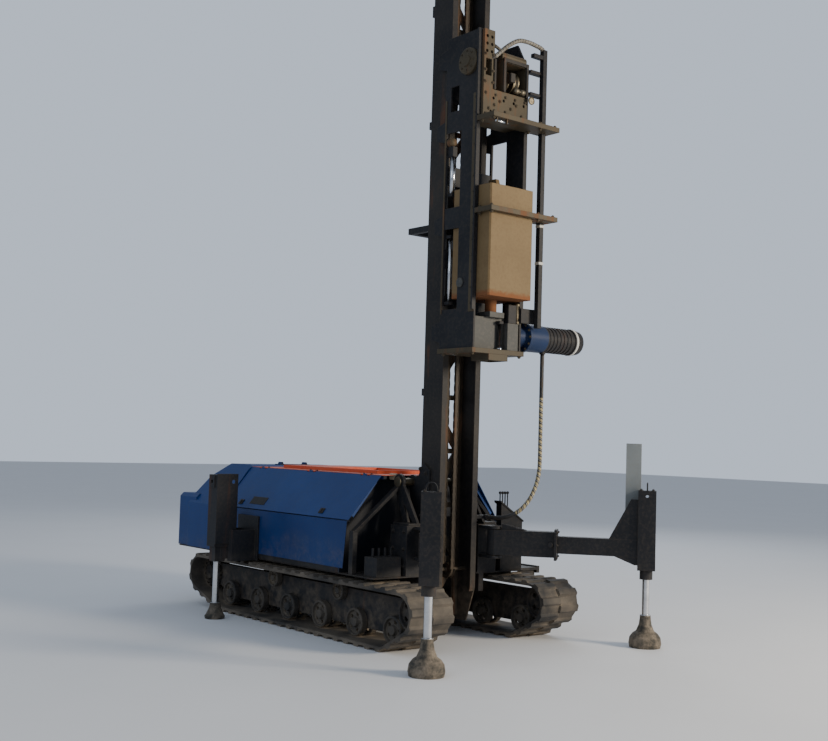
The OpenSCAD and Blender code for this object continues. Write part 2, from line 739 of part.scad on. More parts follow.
// Arm on the left post that holds the hose's lower end
module hose_anchor() {
    y0 = mast_w / 2 + seat;
    z = hose_route[0][2];
    color([0.1, 0.1, 0.105]) union() {
        block([mast_front - 60, y0, z - 17], [mast_front - 4, hose_route[0][1] + 38, z + 17]);
        translate([mast_front - 5, hose_route[0][1], z]) rotate([0, 90, 0])
            cylinder(r = 16.5, h = hose_route[0][0] - mast_front + 5 - seat, $fn = 48);
        translate([mast_front + 6, hose_route[0][1], z]) rotate([0, 90, 0])
            cylinder(r = 28, h = hose_route[0][0] - mast_front - 6 - seat, $fn = 48);
    }
}

// Endless chain inside the mast
module lift_chain() {
    low = foot_z + 500;
    high = mast_top - crown_h + 40;
    c = [[mast_mid, low, chain_r - 8], [mast_mid, high, chain_r - 8]];
    color([0.3, 0.27, 0.22]) union() {
        along_y(-18, 18) difference() {
            polygon(belt(c, 16, 15));
            polygon(belt(c, 0, 15));
        }
        // Wheels inside the loop, with their shafts out to the posts
        for (z = [low, high]) {
            bar_y(mast_mid, z, chain_r - 8.5, -14, 14);
            bar_y(mast_mid, z, 18, z == low ? seat + post_t - mast_w / 2 : seat - post_in - 20,
                z == low ? mast_w / 2 - post_t - seat : post_in + 20 - seat);
        }
    }
}

// Side plates that embrace the mast, with guide claws and cross plates
module carriage_frame() {
    color([0.09, 0.09, 0.1]) union() {
        both() for (z = claw_zs) along_y(side_in, side_in + side_t)
            polygon([[mast_front + gap + 1, z], [mast_rear + 165, z + 30], [mast_rear + 165, z + 170],
                [mast_front + gap + 1, z + 200]]);
        // The far plate is cut down at its upper front corner, the near one is not
        for (s = [[0, 220], [1, 1]]) mirror([0, s[0], 0]) {
            along_y(side_in, side_in + side_t)
                polygon([[mast_front + gap, car_z], [plate_x, car_z], [plate_x, head_top - s[1]],
                    [plate_x - 120, head_top], [mast_front + gap, head_top]]);
            block([plate_x - side_t, side_in + side_t - 1, car_z + 350],
                [plate_x, side_in + side_t + flange_out, head_top - s[1]]);
        }
        for (z = cross_zs) block([mast_front + gap, -side_in - 1, z], [mast_front + gap + 20,
            side_in + 1, z + 180]);
    }
}

// Three flange plates, each open where the ram runs
module flange_plates() {
    color([0.2, 0.18, 0.14]) {
        block([mast_front + gap, -flange_half, car_z - flange_t], [lower_x, flange_half, car_z - seat]);
        // Square cap under the lower plate, open below for the pile's head
        difference() {
            block([axis_x - cap_in / 2 - 14, -cap_in / 2 - 14, car_z - flange_t - 60],
                [axis_x + cap_in / 2 + 14, cap_in / 2 + 14, car_z - flange_t + 1]);
            block([axis_x - cap_in / 2, -cap_in / 2, car_z - flange_t - 61],
                [axis_x + cap_in / 2, cap_in / 2, car_z - flange_t]);
        }
        for (z = [mid_z, top_z]) difference() {
            block([plate_x + seat, -flange_half, z], [ledge_x, ledge_y, z + flange_t]);
            translate([post_x, post_y, z - 1]) linear_extrude(flange_t + 2)
                square(front_post + 2 * seat, center = true);
            if (z == mid_z) block([plate_x, -ram_w / 2 - gap, z - 1],
                [ram_x + ram_d + gap, ram_w / 2 + gap, z + flange_t + 1]);
        }
    }
}

// Square guide post through both upper plates, with its foot bracket and the rungs at the head
module front_posts() {
    out = post_y + front_post / 2 - 1;
    color([0.1, 0.1, 0.105]) union() {
        translate([post_x, post_y, post_low]) linear_extrude(post_top - post_low) square(front_post,
            center = true);
        block([plate_x + seat, side_in + 1, 3000], [plate_x + 20, out, 3140]);
        block([plate_x + seat, out - 40, 3000], [post_x, out, 3140]);
        for (z = [5180, 5395]) block([plate_x + seat, side_in + 5, z], [post_x, post_y + 10, z + 26]);
    }
}

// Head between the side plates: a box with a pierced face, the wheels' frame and a column beside it
module head_frame() {
    z = top_z + flange_t + seat;
    y1 = side_in - seat;
    color([0.24, 0.21, 0.15]) difference() {
        union() {
            block([head_x1 - 18, -y1, z], [head_x1, y1, wheel_low - 14]);
            both() block([head_x0, y1 - 16, z], [head_x1 - 17, y1, wheel_low - 14]);
            block([head_x0, -y1, z], [head_x1 - 17, y1, z + 16]);
            block([head_x0, -y1, wheel_low - 15], [head_x1, y1, wheel_low]);
            // Column beside the near plate
            block([head_x0 + 60, -y1, wheel_low - 1], [head_x1, 130 - y1, head_top - 5]);
            // Square frame round the wheels, with a roller on it
            for (y = [[-40, -10], [y1 - 30, y1]])
                block([head_mid - 60, y[0], wheel_low - 1], [head_x1, y[1], wheel_top]);
            block([head_mid - 60, -40, wheel_top - 30], [head_x1, y1, wheel_top]);
            bar_y(head_x1 - 45, wheel_top + 36, 40, -45, y1 - 10);
        }
        bar_y(head_mid, wheel_low + 156, 26, -100, 400);
        // Window and holes of the column
        block([head_x0, 24 - y1, 5262], [head_x1 + 1, 96 - y1, 5420]);
        for (y = [35 - y1, 95 - y1], h = [5490, 5560, 5630]) translate([head_x0, y, h]) rotate([0, 90, 0])
            cylinder(r = 15, h = 400, $fn = 32);
        for (y = [-200, -70, 60, 190], h = [60, 190]) translate([head_x1 - 40, y + h / 4, z + h])
            rotate([0, 90, 0])
            cylinder(r = 14, h = 60, $fn = 32);
    }
}

// Two grooved rope wheels on one shaft
module head_sheave() {
    wheel = [[50, 0], [106, 0], [106, 12], [88, 31], [88, 39], [106, 58], [106, 70], [50, 70]];
    color([0.32, 0.3, 0.26]) translate([head_mid, 120, wheel_low + 156]) rotate([90, 0, 0])
        rotate_extrude($fn = 64)
        polygon(concat([[0, -159], [25.7, -159], [25.7, -105], [50, -105]], [for (q = wheel) q + [0, -97]],
            [for (q = wheel) q + [0, 27]], [[50, 105], [25.7, 105], [25.7, 170], [0, 170]]));
}

// Flat round motor on the near side plate
module lift_motor() {
    color([0.4, 0.4, 0.36]) translate([1655, -side_in - side_t - seat, 5413]) rotate([90, 0, 0])
        rotate_extrude($fn = 64)
            polygon([[0, 0], [125, 0], [125, 30], [112, 40], [60, 44], [55, 62], [0, 62]]);
}

// Anvil housing under the ram, with the valve block on its front
module drive_head() {
    front = axis_x + 40;
    color([0.3, 0.3, 0.3]) union() {
        block([mast_front + gap + 21, -side_in + seat, car_z + seat], [front, side_in - seat, car_z + 300]);
        block([front - 1, 120, car_z + seat], [lower_x - 11, 255, car_z + 255]);
        block([axis_x - 90, -90, car_z + 299], [axis_x + 90, 90, ram_low - seat]);
    }
}

module gearbox() {
    z = car_z + 150;
    color([0.05, 0.2, 0.5]) union() {
        bar_y(axis_x, z, 95, side_in + side_t + seat, gear_in + 1);
        bar_y(axis_x, z, gear_d / 2, gear_in, gear_in + gear_len);
        bar_y(axis_x, z, gear_d / 2 + 12, gear_in, gear_in + 28);
    }
}

module drive_motor() {
    z = car_z + 150;
    y0 = gear_in + gear_len + seat;
    end = hose_route[len(hose_route) - 1];
    color([0.12, 0.12, 0.12]) union() {
        translate([axis_x, y0, z]) rotate([-90, 0, 0]) rotate_extrude($fn = 64)
            polygon(concat([[0, 0], [motor_d / 2, 0], [motor_d / 2, 24]],
                [for (k = [0:6], q = [[-8, 30], [0, 34], [0, 54], [-8, 58]])
                    [motor_d / 2 + q[0], q[1] + k * 48]],
                [[motor_d / 2 - 8, 380], [motor_d / 2 + 2, 384], [motor_d / 2 + 2, 430],
                    [motor_d / 2 - 10, 500], [90, 530], [0, 530]]));
        // Gland of the hose
        translate([end[0], end[1], end[2] + seat]) cylinder(r = hose_r + 10, h = 80, $fn = 48);
    }
}

module ram() {
    c = 14;
    h = ram_w / 2;
    top = ram_z + ram_h;
    color([0.55, 0.42, 0.25]) difference() {
        union() {
            translate([ram_x, 0, ram_z]) linear_extrude(ram_h)
                polygon([[c, -h], [ram_d - c, -h], [ram_d, c - h], [ram_d, h - c], [ram_d - c, h], [c,
                    h], [0, h - c], [0, c - h]]);
            translate([axis_x, 0, ram_low]) cylinder(r = 55, h = ram_z - ram_low + 1, $fn = 48);
            // Lug of the lifting rope
            along_y(-22, 22) polygon([[axis_x - 80, top - 1], [axis_x + 80, top - 1], [axis_x + 45,
                top + 105], [axis_x - 45, top + 105]]);
        }
        bar_y(axis_x, top + 62, 24, -30, 30);
    }
}

// Arm frame: x along the arm from its pin, on the left or the right side
module on_arm(side) {
    mirror([0, side < 0 ? 1 : 0, 0]) translate([arm_pin_x, arm_pin_y, 0]) rotate(arm_angle) children();
}

// Upright rectangle tube along x, drawn by its outer width and height
module tube_x(x0, x1, w, h) {
    translate([x0, -w / 2, arm_z - h / 2]) cube([x1 - x0, w, h]);
}

module outrigger_arm(side) {
    wall = 10;
    color([0.08, 0.08, 0.09]) on_arm(side) difference() {
        union() {
            translate([0, 0, arm_z - arm_h / 2]) cylinder(r = arm_eye_r, h = arm_h, $fn = 64);
            tube_x(0, arm_tube_len, arm_w, arm_h);
            tube_x(arm_tube_len - 25, arm_tube_len, arm_w + 50, arm_h + 50);
            // Fins over the root, and the boss of the locking screw
            for (t = [-1, 1]) translate([0, t * (arm_w / 2 - 30), 0]) along_y(-6, 6)
                polygon([[76, arm_z + arm_h / 2 - 1], [320, arm_z + arm_h / 2 - 1], [76,
                    arm_z + arm_h / 2 + 62]]);
            translate([arm_tube_len - 60, 0, arm_z]) rotate([90, 0, 0]) cylinder(r = 22,
                h = arm_w / 2 + 24, $fn = 32);
        }
        translate([0, 0, arm_z - arm_h / 2 - 40]) cylinder(r = arm_pin_r + pin_gap, h = arm_h + 80,
            $fn = 64);
        tube_x(arm_eye_r + 8, arm_tube_len - 24, arm_w - 2 * wall, arm_h - 2 * wall);
        tube_x(arm_tube_len - 30, arm_tube_len + 1, beam_w + 1, beam_h + 1);
    }
}

module outrigger_beam(side) {
    color([0.09, 0.09, 0.1]) on_arm(side) difference() {
        union() {
            tube_x(beam_in, arm_len - jack_w / 2 + 1, beam_w, beam_h);
            tube_x(beam_in, beam_in + 20, arm_w - 21, arm_h - 21);
            translate([arm_len - jack_w / 2, -jack_w / 2, jack_low]) cube([jack_w, jack_w,
                jack_top - jack_low]);
            translate([arm_len, 0, jack_collar]) cylinder(r = rod_r + 26,
                h = jack_low - jack_collar + 1, $fn = 64);
            // Gusset plates up the inner side of the tube
            for (t = [-1, 1]) translate([0, t * (beam_w / 2 - 8), 0]) along_y(-6, 6)
                polygon([[arm_len - 350, arm_z + beam_h / 2 - 1], [arm_len - 79, arm_z + beam_h / 2 - 1],
                    [arm_len - 79, jack_top - 90], [arm_len - 150, jack_top - 90]]);
            for (t = [-1, 1]) translate([0, t * (beam_w / 2 - 8), 0]) along_y(-6, 6)
                polygon([[arm_len - 300, arm_z - beam_h / 2 + 1], [arm_len - 110, 760],
                    [arm_len - 79, 760], [arm_len - 79, arm_z - beam_h / 2 + 1]]);
            if (side > 0) translate([arm_len - 170, beam_w / 2 - 10, arm_z + 60]) cube([100,
                jack_w / 2 - beam_w / 2 + 10, 160]);
        }
        translate([arm_len - jack_w / 2 + 8, 8 - jack_w / 2, jack_low + 8])
            cube([jack_w - 16, jack_w - 16, jack_top - jack_low - 16]);
        translate([arm_len, 0, jack_collar - 1]) cylinder(r = rod_r + pin_gap,
            h = jack_low - jack_collar + 12, $fn = 64);
        // Cross hole near the tube's top
        translate([arm_len, 200, jack_top - 55]) rotate([90, 0, 0]) cylinder(r = 16, h = 400, $fn = 32);
    }
}

// Rod with its foot, drawn at the origin
front_foot = [[foot_r - 8, 0], [foot_r, 38], [foot_r - 8, 92], [foot_r - 34, 128], [84, 152], [60, 210],
    [52, 262], [50, jack_foot_z]];
rear_foot = [[98, 0], [104, 26], [86, 52], [60, 110], [50, 165]];
module leg_shape(foot, top, w) {
    union() {
        rotate_extrude($fn = 64) polygon(concat([[0, 0]], foot, [[rod_r, foot[len(foot) - 1][1]],
            [rod_r, top], [0, top]]));
        translate([-w / 2, -w / 2, top - 90]) cube([w, w, 90]);
    }
}

module front_leg(side) {
    color([0.6, 0.62, 0.65]) on_arm(side) translate([arm_len, 0, 0]) leg_shape(front_foot, 1060,
        jack_w - 18);
}

module rear_jack(side) {
    w = 160;
    y = rear_jack_y;
    color([0.1, 0.1, 0.105]) mirror([0, side < 0 ? 1 : 0, 0]) difference() {
        union() {
            // Cross tube over the deck, meeting its twin in the middle
            block([rear_jack_x - 65, seat / 2, deck_z + seat], [rear_jack_x + 65, y - 1, deck_z + 150]);
            block([rear_jack_x - w / 2, y - w / 2, 730], [rear_jack_x + w / 2, y + w / 2, jack_top]);
            block([rear_jack_x - 58, y - 58, 580], [rear_jack_x + 58, y + 58, 731]);
            // Bracket plates on the hull's side
            block([rear_jack_x - 200, hull_half + seat, track_h + 15], [rear_jack_x + 200,
                hull_half + 20, 1040]);
            for (x = [-150, 130]) block([rear_jack_x + x, hull_half + 10, track_h + 15],
                [rear_jack_x + x + 20, y - w / 2 + 1, 900]);
            for (x = [-150, 70]) block([rear_jack_x + x, y - w / 2 - 20, track_h + 15],
                [rear_jack_x + x + 80, y - w / 2 + 1, 900]);
            // Plate up the front of the tube
            block([rear_jack_x + w / 2 - 1, y - w / 2 - 80, 760], [rear_jack_x + w / 2 + 14, y + w / 2,
                jack_top + 10]);
            translate([0, y + w / 2 - 1, 0]) along_y(0, 14) translate([rear_jack_x - 50, jack_top - 130])
                square([100, 120]);
        }
        block([rear_jack_x - w / 2 + 8, y - w / 2 + 8, 740], [rear_jack_x + w / 2 - 8, y + w / 2 - 8,
            jack_top - 8]);
        translate([rear_jack_x, y, 500]) cylinder(r = rod_r + pin_gap, h = 300, $fn = 64);
        bar_y(rear_jack_x, jack_top - 70, 20, y, y + 200);
        translate([rear_jack_x + w / 2 - 20, y - w / 2 - 30, jack_top - 70]) rotate([0, 90, 0])
            cylinder(r = 22, h = 60, $fn = 32);
    }
}

module rear_leg(side) {
    color([0.45, 0.46, 0.48]) translate([rear_jack_x, side * rear_jack_y, 0]) leg_shape(rear_foot,
        1060, 142);
}

// Spare plate for soft ground, stowed upright beside the left jack
module ground_plate() {
    color([0.42, 0.45, 0.46]) on_arm(1)
        translate([arm_len - 204, jack_w / 2 + seat, arm_z - 90]) cube([145, 16, 1075]);
}

// Closed tube swept along a route, as one polyhedron
function tangent(p, i) =
    let (a = p[max(i - 1, 0)], b = p[min(i + 1, len(p) - 1)]) (b - a) / norm(b - a);
function smooth(p, n) = [for (i = [0:len(p) - 2], k = [0:n - 1])
    let (t = k / n, a = p[max(i - 1, 0)], b = p[i], c = p[i + 1], d = p[min(i + 2, len(p) - 1)])
    0.5 * (2 * b + (c - a) * t + (2 * a - 5 * b + 4 * c - d) * t * t + (3 * b - a - 3 * c + d) * t * t * t),
    p[len(p) - 1]];
module swept(route, r, sides) {
    p = route;
    n = len(p);
    rings = [for (i = [0:n - 1]) let (t = tangent(p, i), u = cross(t, [1, 0.2, 0.1]), v = u / norm(u),
        w = cross(t, v))
        for (k = [0:sides - 1]) p[i] + r * (cos(k * 360 / sides) * v + sin(k * 360 / sides) * w)];
    polyhedron(points = rings, faces = concat(
        [[for (k = [0:sides - 1]) k]],
        [[for (k = [0:sides - 1]) n * sides - 1 - k]],
        [for (i = [0:n - 2], k = [0:sides - 1]) let (a = i * sides + k, b = i * sides + (k + 1) % sides)
            [a, a + sides, b + sides, b]]), convexity = 4);
}

module hose_bundle() {
    color([0.75, 0.62, 0.2]) swept(smooth(hose_route, 3), hose_r, 10);
}

centred() chassis_frame();
centred() track_frames();
centred() track(1);  // track_left
centred() track(-1);  // track_right
centred() drive_sprockets();
centred() idlers();
centred() road_wheels();
centred() hood_shell();
centred() hood_roof();
centred() hatch(1);  // hatch_left
centred() hatch(-1);  // hatch_right
centred() rear_housing();
centred() engine_block();
centred() operator_platform();
centred() lever_console();
centred() valve_block();
centred() mast_trestles();
centred() pivot_pin();
centred() mast_cradle();
centred() tilt_barrel();
centred() tilt_rod();
centred() mast_posts();
centred() mast_lattice();
centred() mast_crown();
centred() mast_bracket();
centred() mast_rest();
centred() hose_anchor();
centred() lift_chain();
centred() carriage_frame();
centred() flange_plates();
centred() front_posts();
centred() head_frame();
centred() head_sheave();
centred() lift_motor();
centred() drive_head();
centred() gearbox();
centred() drive_motor();
centred() ram();
centred() outrigger_arm(1);  // outrigger_arm_left
centred() outrigger_arm(-1);  // outrigger_arm_right
centred() outrigger_beam(1);  // outrigger_beam_left
centred() outrigger_beam(-1);  // outrigger_beam_right
centred() front_leg(1);  // front_leg_left
centred() front_leg(-1);  // front_leg_right
centred() rear_jack(1);  // rear_jack_left
centred() rear_jack(-1);  // rear_jack_right
centred() rear_leg(1);  // rear_leg_left
centred() rear_leg(-1);  // rear_leg_right
centred() ground_plate();
centred() hose_bundle();
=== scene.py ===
# Looks for the tracked pile driver rig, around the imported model
import math

import bmesh
import bpy
from mathutils import Matrix, Vector


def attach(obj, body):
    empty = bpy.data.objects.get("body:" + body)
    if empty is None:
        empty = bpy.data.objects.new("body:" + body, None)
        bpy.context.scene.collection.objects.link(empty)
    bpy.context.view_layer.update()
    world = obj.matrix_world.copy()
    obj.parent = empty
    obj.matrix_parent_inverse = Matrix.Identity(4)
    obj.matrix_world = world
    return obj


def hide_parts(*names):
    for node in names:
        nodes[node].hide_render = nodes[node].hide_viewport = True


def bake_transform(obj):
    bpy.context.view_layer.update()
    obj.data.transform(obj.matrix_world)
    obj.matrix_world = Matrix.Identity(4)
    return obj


print("rig: loading the frame")
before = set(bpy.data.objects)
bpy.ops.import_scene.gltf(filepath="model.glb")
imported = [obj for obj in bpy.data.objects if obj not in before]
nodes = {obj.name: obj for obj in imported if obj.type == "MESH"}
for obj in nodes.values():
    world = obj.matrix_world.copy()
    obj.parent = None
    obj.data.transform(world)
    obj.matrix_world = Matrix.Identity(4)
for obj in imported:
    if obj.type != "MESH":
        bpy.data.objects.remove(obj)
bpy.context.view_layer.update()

# places are written from the machine's own zero, and the frame's lies under the middle of its footprint
middleX = 0.09755


def at(x, y, z):
    return (x - middleX, y, z)


print("rig: camera")

cameraSet = {
    "place": at(9.74, -7.41, 1.85),
    "heading": 141.0,  # degrees from X towards Y
    "pitch": 3.5,
    "roll": 1.72,
    "focalPixels": 1173.0,  # of an image as wide as the next value
    "imageWidth": 828.0,
    "sensor": 36.0,
    "clipEnd": 200.0,
}


def placeCamera(values):
    heading, pitch, roll = (math.radians(values[k]) for k in ("heading", "pitch", "roll"))
    level = math.cos(pitch)
    ahead = Vector((math.cos(heading) * level, math.sin(heading) * level, math.sin(pitch)))
    right = Vector((math.sin(heading), -math.cos(heading), 0.0))
    up = right.cross(ahead)
    side = right * math.cos(roll) + up * math.sin(roll)
    top = up * math.cos(roll) - right * math.sin(roll)
    turn = Matrix((side, top, -ahead)).transposed().to_4x4()
    data = bpy.data.cameras.new("photoCamera")
    data.sensor_width = values["sensor"]
    data.lens = values["focalPixels"] / values["imageWidth"] * values["sensor"]
    data.clip_end = values["clipEnd"]
    made = bpy.data.objects.new("photoCamera", data)
    made.matrix_world = Matrix.Translation(values["place"]) @ turn
    bpy.context.scene.collection.objects.link(made)
    bpy.context.scene.camera = made


placeCamera(cameraSet)


# shader and geometry trees
class Flow:
    # a node's output that takes part in sums
    def __init__(self, maker, socket):
        self.maker, self.socket = maker, socket

    def sums(self, operation, first, second):
        return self.maker.node("ShaderNodeMath", {"operation": operation}, [first, second])

    def __add__(self, other):
        return self.sums("ADD", self, other)

    def __radd__(self, other):
        return self.sums("ADD", other, self)

    def __sub__(self, other):
        return self.sums("SUBTRACT", self, other)

    def __rsub__(self, other):
        return self.sums("SUBTRACT", other, self)

    def __mul__(self, other):
        return self.sums("MULTIPLY", self, other)

    def __truediv__(self, other):
        return self.sums("DIVIDE", self, other)

    def between(self, low, high):
        # 0 at the low value, 1 at the high one
        sockets = {0: self, 1: low, 2: high, 3: 0.0, 4: 1.0}
        return self.maker.node("ShaderNodeMapRange", {"clamp": True}, sockets)


class Tree:
    # adds nodes of any type to a tree: settings first, then the sockets' values or links
    def __init__(self, tree):
        self.tree = tree

    def node(self, kind, settings=None, sockets=None, take=0):
        made = self.tree.nodes.new(kind)
        for key, value in (settings or {}).items():
            setattr(made, key, value)
        pairs = sockets.items() if isinstance(sockets, dict) else enumerate(sockets or [])
        for key, value in pairs:
            self.feed(made.inputs[key], value)
        return Flow(self, made.outputs[take])

    def feed(self, socket, value):
        if isinstance(value, Flow):
            self.tree.links.new(value.socket, socket)
        elif socket.type == "RGBA" and len(value) == 3:
            socket.default_value = (*value, 1.0)
        else:
            socket.default_value = value


class Finish(Tree):
    # a material on one principled surface, patterned in the object's own coordinates
    def __init__(self, name):
        self.material = bpy.data.materials.new(name)
        self.material.use_nodes = True
        super().__init__(self.material.node_tree)
        self.tree.nodes.clear()
        self.surface = self.tree.nodes.new("ShaderNodeBsdfPrincipled")
        output = self.tree.nodes.new("ShaderNodeOutputMaterial")
        self.tree.links.new(self.surface.outputs[0], output.inputs["Surface"])
        self.spot = self.node("ShaderNodeTexCoord", take="Object")

    def set(self, **values):
        for key, value in values.items():
            self.feed(self.surface.inputs[key.replace("_", " ")], value)

    def mix(self, factor, first, second):
        # 6 and 7 are the mix node's colours, and 2 is its colour output
        settings = {"data_type": "RGBA", "clamp_factor": True}
        return self.node("ShaderNodeMix", settings, {0: factor, 6: first, 7: second}, 2)

    def stretched(self, scale):
        return self.node("ShaderNodeMapping", None, {"Vector": self.spot, "Scale": scale})

    def noise(self, scale, detail, rough=0.55, spot=None):
        sockets = {"Vector": spot or self.spot, "Scale": scale, "Detail": detail, "Roughness": rough}
        return self.node("ShaderNodeTexNoise", None, sockets, "Fac")

    def facing(self, axis):
        # how far the surface faces along an axis of its own body
        normal = self.node("ShaderNodeTexCoord", take="Normal")
        return self.node("ShaderNodeSeparateXYZ", None, {0: normal}, axis)

    def height(self):
        return self.node("ShaderNodeSeparateXYZ", None, {0: self.spot}, "Z")

    def rounded(self, radius):
        return self.node("ShaderNodeBevel", {"samples": 4}, {"Radius": radius})

    def edges(self, rounded):
        # above 0 where the rounded normal leaves the flat one
        flat = self.node("ShaderNodeNewGeometry", take="Normal")
        return 1.0 - self.node("ShaderNodeVectorMath", {"operation": "DOT_PRODUCT"}, [rounded, flat], "Value")

    def corners(self, reach):
        return 1.0 - self.node("ShaderNodeAmbientOcclusion", {"samples": 4}, {"Distance": reach}, "AO")

    def relief(self, height, strength, distance, normal=None):
        sockets = {"Height": height, "Strength": strength, "Distance": distance}
        if normal:
            sockets["Normal"] = normal
        self.set(Normal=self.node("ShaderNodeBump", None, sockets))


print("rig: finishes")

dirt = {"dry": (0.33, 0.27, 0.20), "wet": (0.060, 0.045, 0.032), "rust": (0.19, 0.070, 0.028)}

# what all painted steel shares unless its own look says otherwise: scales per metre, lengths in metres
coatBase = {
    "patchScale": 1.3, "patchRange": (0.35, 0.7),
    "grainScale": 38.0, "grainRange": (0.45, 0.8), "grainShows": 0.25,
    "radius": 0.006, "edgeGain": 9.0,
    "chipScale": 21.0, "chipFrom": 0.62, "chipGain": 2.2, "chipRange": (0.25, 0.75),
    "runScale": (9.0, 9.0, 0.9), "runPatches": 0.7, "rustFrom": 0.92, "rustBlend": 0.16,
    "rustBelow": -1.0, "footGrain": 0.06, "footBlend": 0.04, "footRust": 0.85,
    "dustFacing": (0.25, 0.95), "dustOnTop": 0.75, "dustInCorners": 0.5, "cornerReach": 0.10,
    "dustScale": 5.0, "dustRange": (0.32, 0.68),
    "mudTop": 0.75, "mudLineScale": 4.0, "mudLine": 0.7, "mudBlend": 0.55,
    "mudScale": 9.0, "mudRange": (0.40, 0.66),
    "patchGloss": 0.18, "grainGloss": 0.08, "wornRough": 0.9,
    "bare": 0.3, "shine": 0.35, "coat": 0.0, "coatRough": 0.22,
    "dimFacing": (0.5, 0.8), "waves": 2.2, "dents": 0.0, "fineScale": 140.0,
    "grainHigh": 0.25, "fineHigh": 0.12, "mudHigh": 0.8, "relief": 0.35, "depth": 0.004,
}


def coated(name, chosen):
    # paint over steel: faded patches, chipped edges, rust runs, dust on top and mud low down
    look = coatBase | chosen
    f = Finish(name)
    patches, grain = f.noise(look["patchScale"], 5.0), f.noise(look["grainScale"], 3.0)
    rounded = f.rounded(look["radius"])
    flakes = (f.noise(look["chipScale"], 6.0, 0.7) - look["chipFrom"]) * look["chipGain"]
    chips = (f.edges(rounded) * look["edgeGain"] + flakes).between(*look["chipRange"]) * look["chips"]

    runs = f.noise(1.0, 5.0, 0.6, f.stretched(look["runScale"])) + patches * look["runPatches"]
    rusty = (runs - look["rustFrom"]).between(0.0, look["rustBlend"]) * look["rust"]
    foot = look["rustBelow"] - f.height() + (grain - 0.5) * look["footGrain"]
    rusty = (rusty + foot.between(0.0, look["footBlend"]) * look["footRust"]).between(0.0, 1.0)

    lying = f.facing("Z").between(*look["dustFacing"]) * look["dustOnTop"]
    lying = lying + f.corners(look["cornerReach"]) * look["dustInCorners"]
    dust = lying * f.noise(look["dustScale"], 6.0, 0.65).between(*look["dustRange"]) * look["dust"]
    line = look["mudTop"] - f.height() + (f.noise(look["mudLineScale"], 5.0) - 0.5) * look["mudLine"]
    clods = f.noise(look["mudScale"], 7.0, 0.7).between(*look["mudRange"])
    mud = line.between(0.0, look["mudBlend"]) * clods * look["mud"]

    colour = f.mix(patches.between(*look["patchRange"]), look["paint"], look["faded"])
    colour = f.mix(grain.between(*look["grainRange"]) * look["grainShows"], colour, look["under"])
    colour = f.mix(rusty, colour, dirt["rust"])
    colour = f.mix(chips, colour, look["under"])
    colour = f.mix(dust, colour, dirt["dry"])
    colour = f.mix(mud, colour, f.mix(grain, dirt["dry"], dirt["wet"]))
    if "dim" in look:
        # faces towards the machine's front, which lie in the mast's shade
        colour = f.mix(f.facing("X").between(*look["dimFacing"]), colour, look["dim"])

    worn = (dust + mud + rusty).between(0.0, 1.0)
    gloss = look["rough"] + (patches - 0.5) * look["patchGloss"] + (grain - 0.5) * look["grainGloss"]
    f.set(Base_Color=colour, Roughness=(gloss + worn * (look["wornRough"] - look["rough"])).between(0.0, 1.0))
    f.set(Metallic=(chips * look["bare"]).between(0.0, 1.0), Specular_IOR_Level=look["shine"])
    varnish = (look["coat"] - worn * look["coat"]).between(0.0, 1.0)
    f.set(Coat_Weight=varnish, Coat_Roughness=look["coatRough"])
    fine = grain * look["grainHigh"] + f.noise(look["fineScale"], 2.0) * look["fineHigh"]
    waves = f.noise(look["waves"], 2.0) * look["dents"]
    f.relief(fine + waves + mud * look["mudHigh"], look["relief"], look["depth"], rounded)
    return f.material


blackLook = {
    "paint": (0.011, 0.012, 0.015), "faded": (0.026, 0.027, 0.031), "under": (0.095, 0.075, 0.058),
    "chips": 0.60, "rust": 0.28, "rustFrom": 1.00, "dust": 0.12, "mud": 0.60, "rough": 0.50, "shine": 0.16,
}
mastLook = blackLook | {
    "paint": (0.014, 0.014, 0.016), "faded": (0.038, 0.034, 0.030),
    "rust": 0.45, "rustFrom": 0.95, "dust": 0.32,
}
laceLook = mastLook | {
    "paint": (0.022, 0.018, 0.014), "faded": (0.070, 0.050, 0.032),
    "rust": 0.6, "rustFrom": 0.88, "dust": 0.4,
}
plateLook = mastLook | {
    "paint": (0.046, 0.038, 0.024), "faded": (0.092, 0.073, 0.045),
    "rust": 0.6, "rustFrom": 0.90, "dust": 0.35,
}
ramLook = {
    "paint": (0.150, 0.100, 0.046), "faded": (0.205, 0.143, 0.072), "under": (0.08, 0.042, 0.022),
    "chips": 0.6, "rust": 0.25, "rustFrom": 1.04, "rustBelow": 3.262, "dust": 0.15, "mud": 0.0,
    "rough": 0.6, "shine": 0.2, "dents": 0.25,
}
hoodLook = {
    "paint": (0.004, 0.034, 0.150), "faded": (0.007, 0.050, 0.200), "under": (0.040, 0.050, 0.075),
    "radius": 0.008, "chips": 0.40, "rust": 0.10, "rustFrom": 1.06, "dust": 0.06, "mud": 0.50, "mudTop": 0.78,
    "rough": 0.50, "shine": 0.22, "coat": 0.12, "dents": 2.6, "waves": 2.6, "bare": 0.1,
}
sideLook = hoodLook | {
    "paint": (0.004, 0.026, 0.118), "faded": (0.007, 0.040, 0.160),
    "mudTop": 0.95, "dim": (0.008, 0.010, 0.016),
}
roofLook = hoodLook | {
    "paint": (0.62, 0.070, 0.022), "faded": (0.70, 0.12, 0.045), "under": (0.25, 0.06, 0.03),
    "dust": 0.35, "dents": 2.0,
}
gearLook = hoodLook | {
    "paint": (0.002, 0.012, 0.050), "faded": (0.004, 0.022, 0.080),
    "dents": 0.0, "chips": 0.8, "mud": 0.0, "dust": 0.2,
}
headLook = blackLook | {
    "paint": (0.045, 0.047, 0.047), "faded": (0.085, 0.086, 0.082), "under": (0.20, 0.18, 0.15), "rust": 0.35,
}
greyLook = headLook | {"paint": (0.17, 0.19, 0.20), "faded": (0.27, 0.29, 0.29), "chips": 0.7, "dust": 0.45}

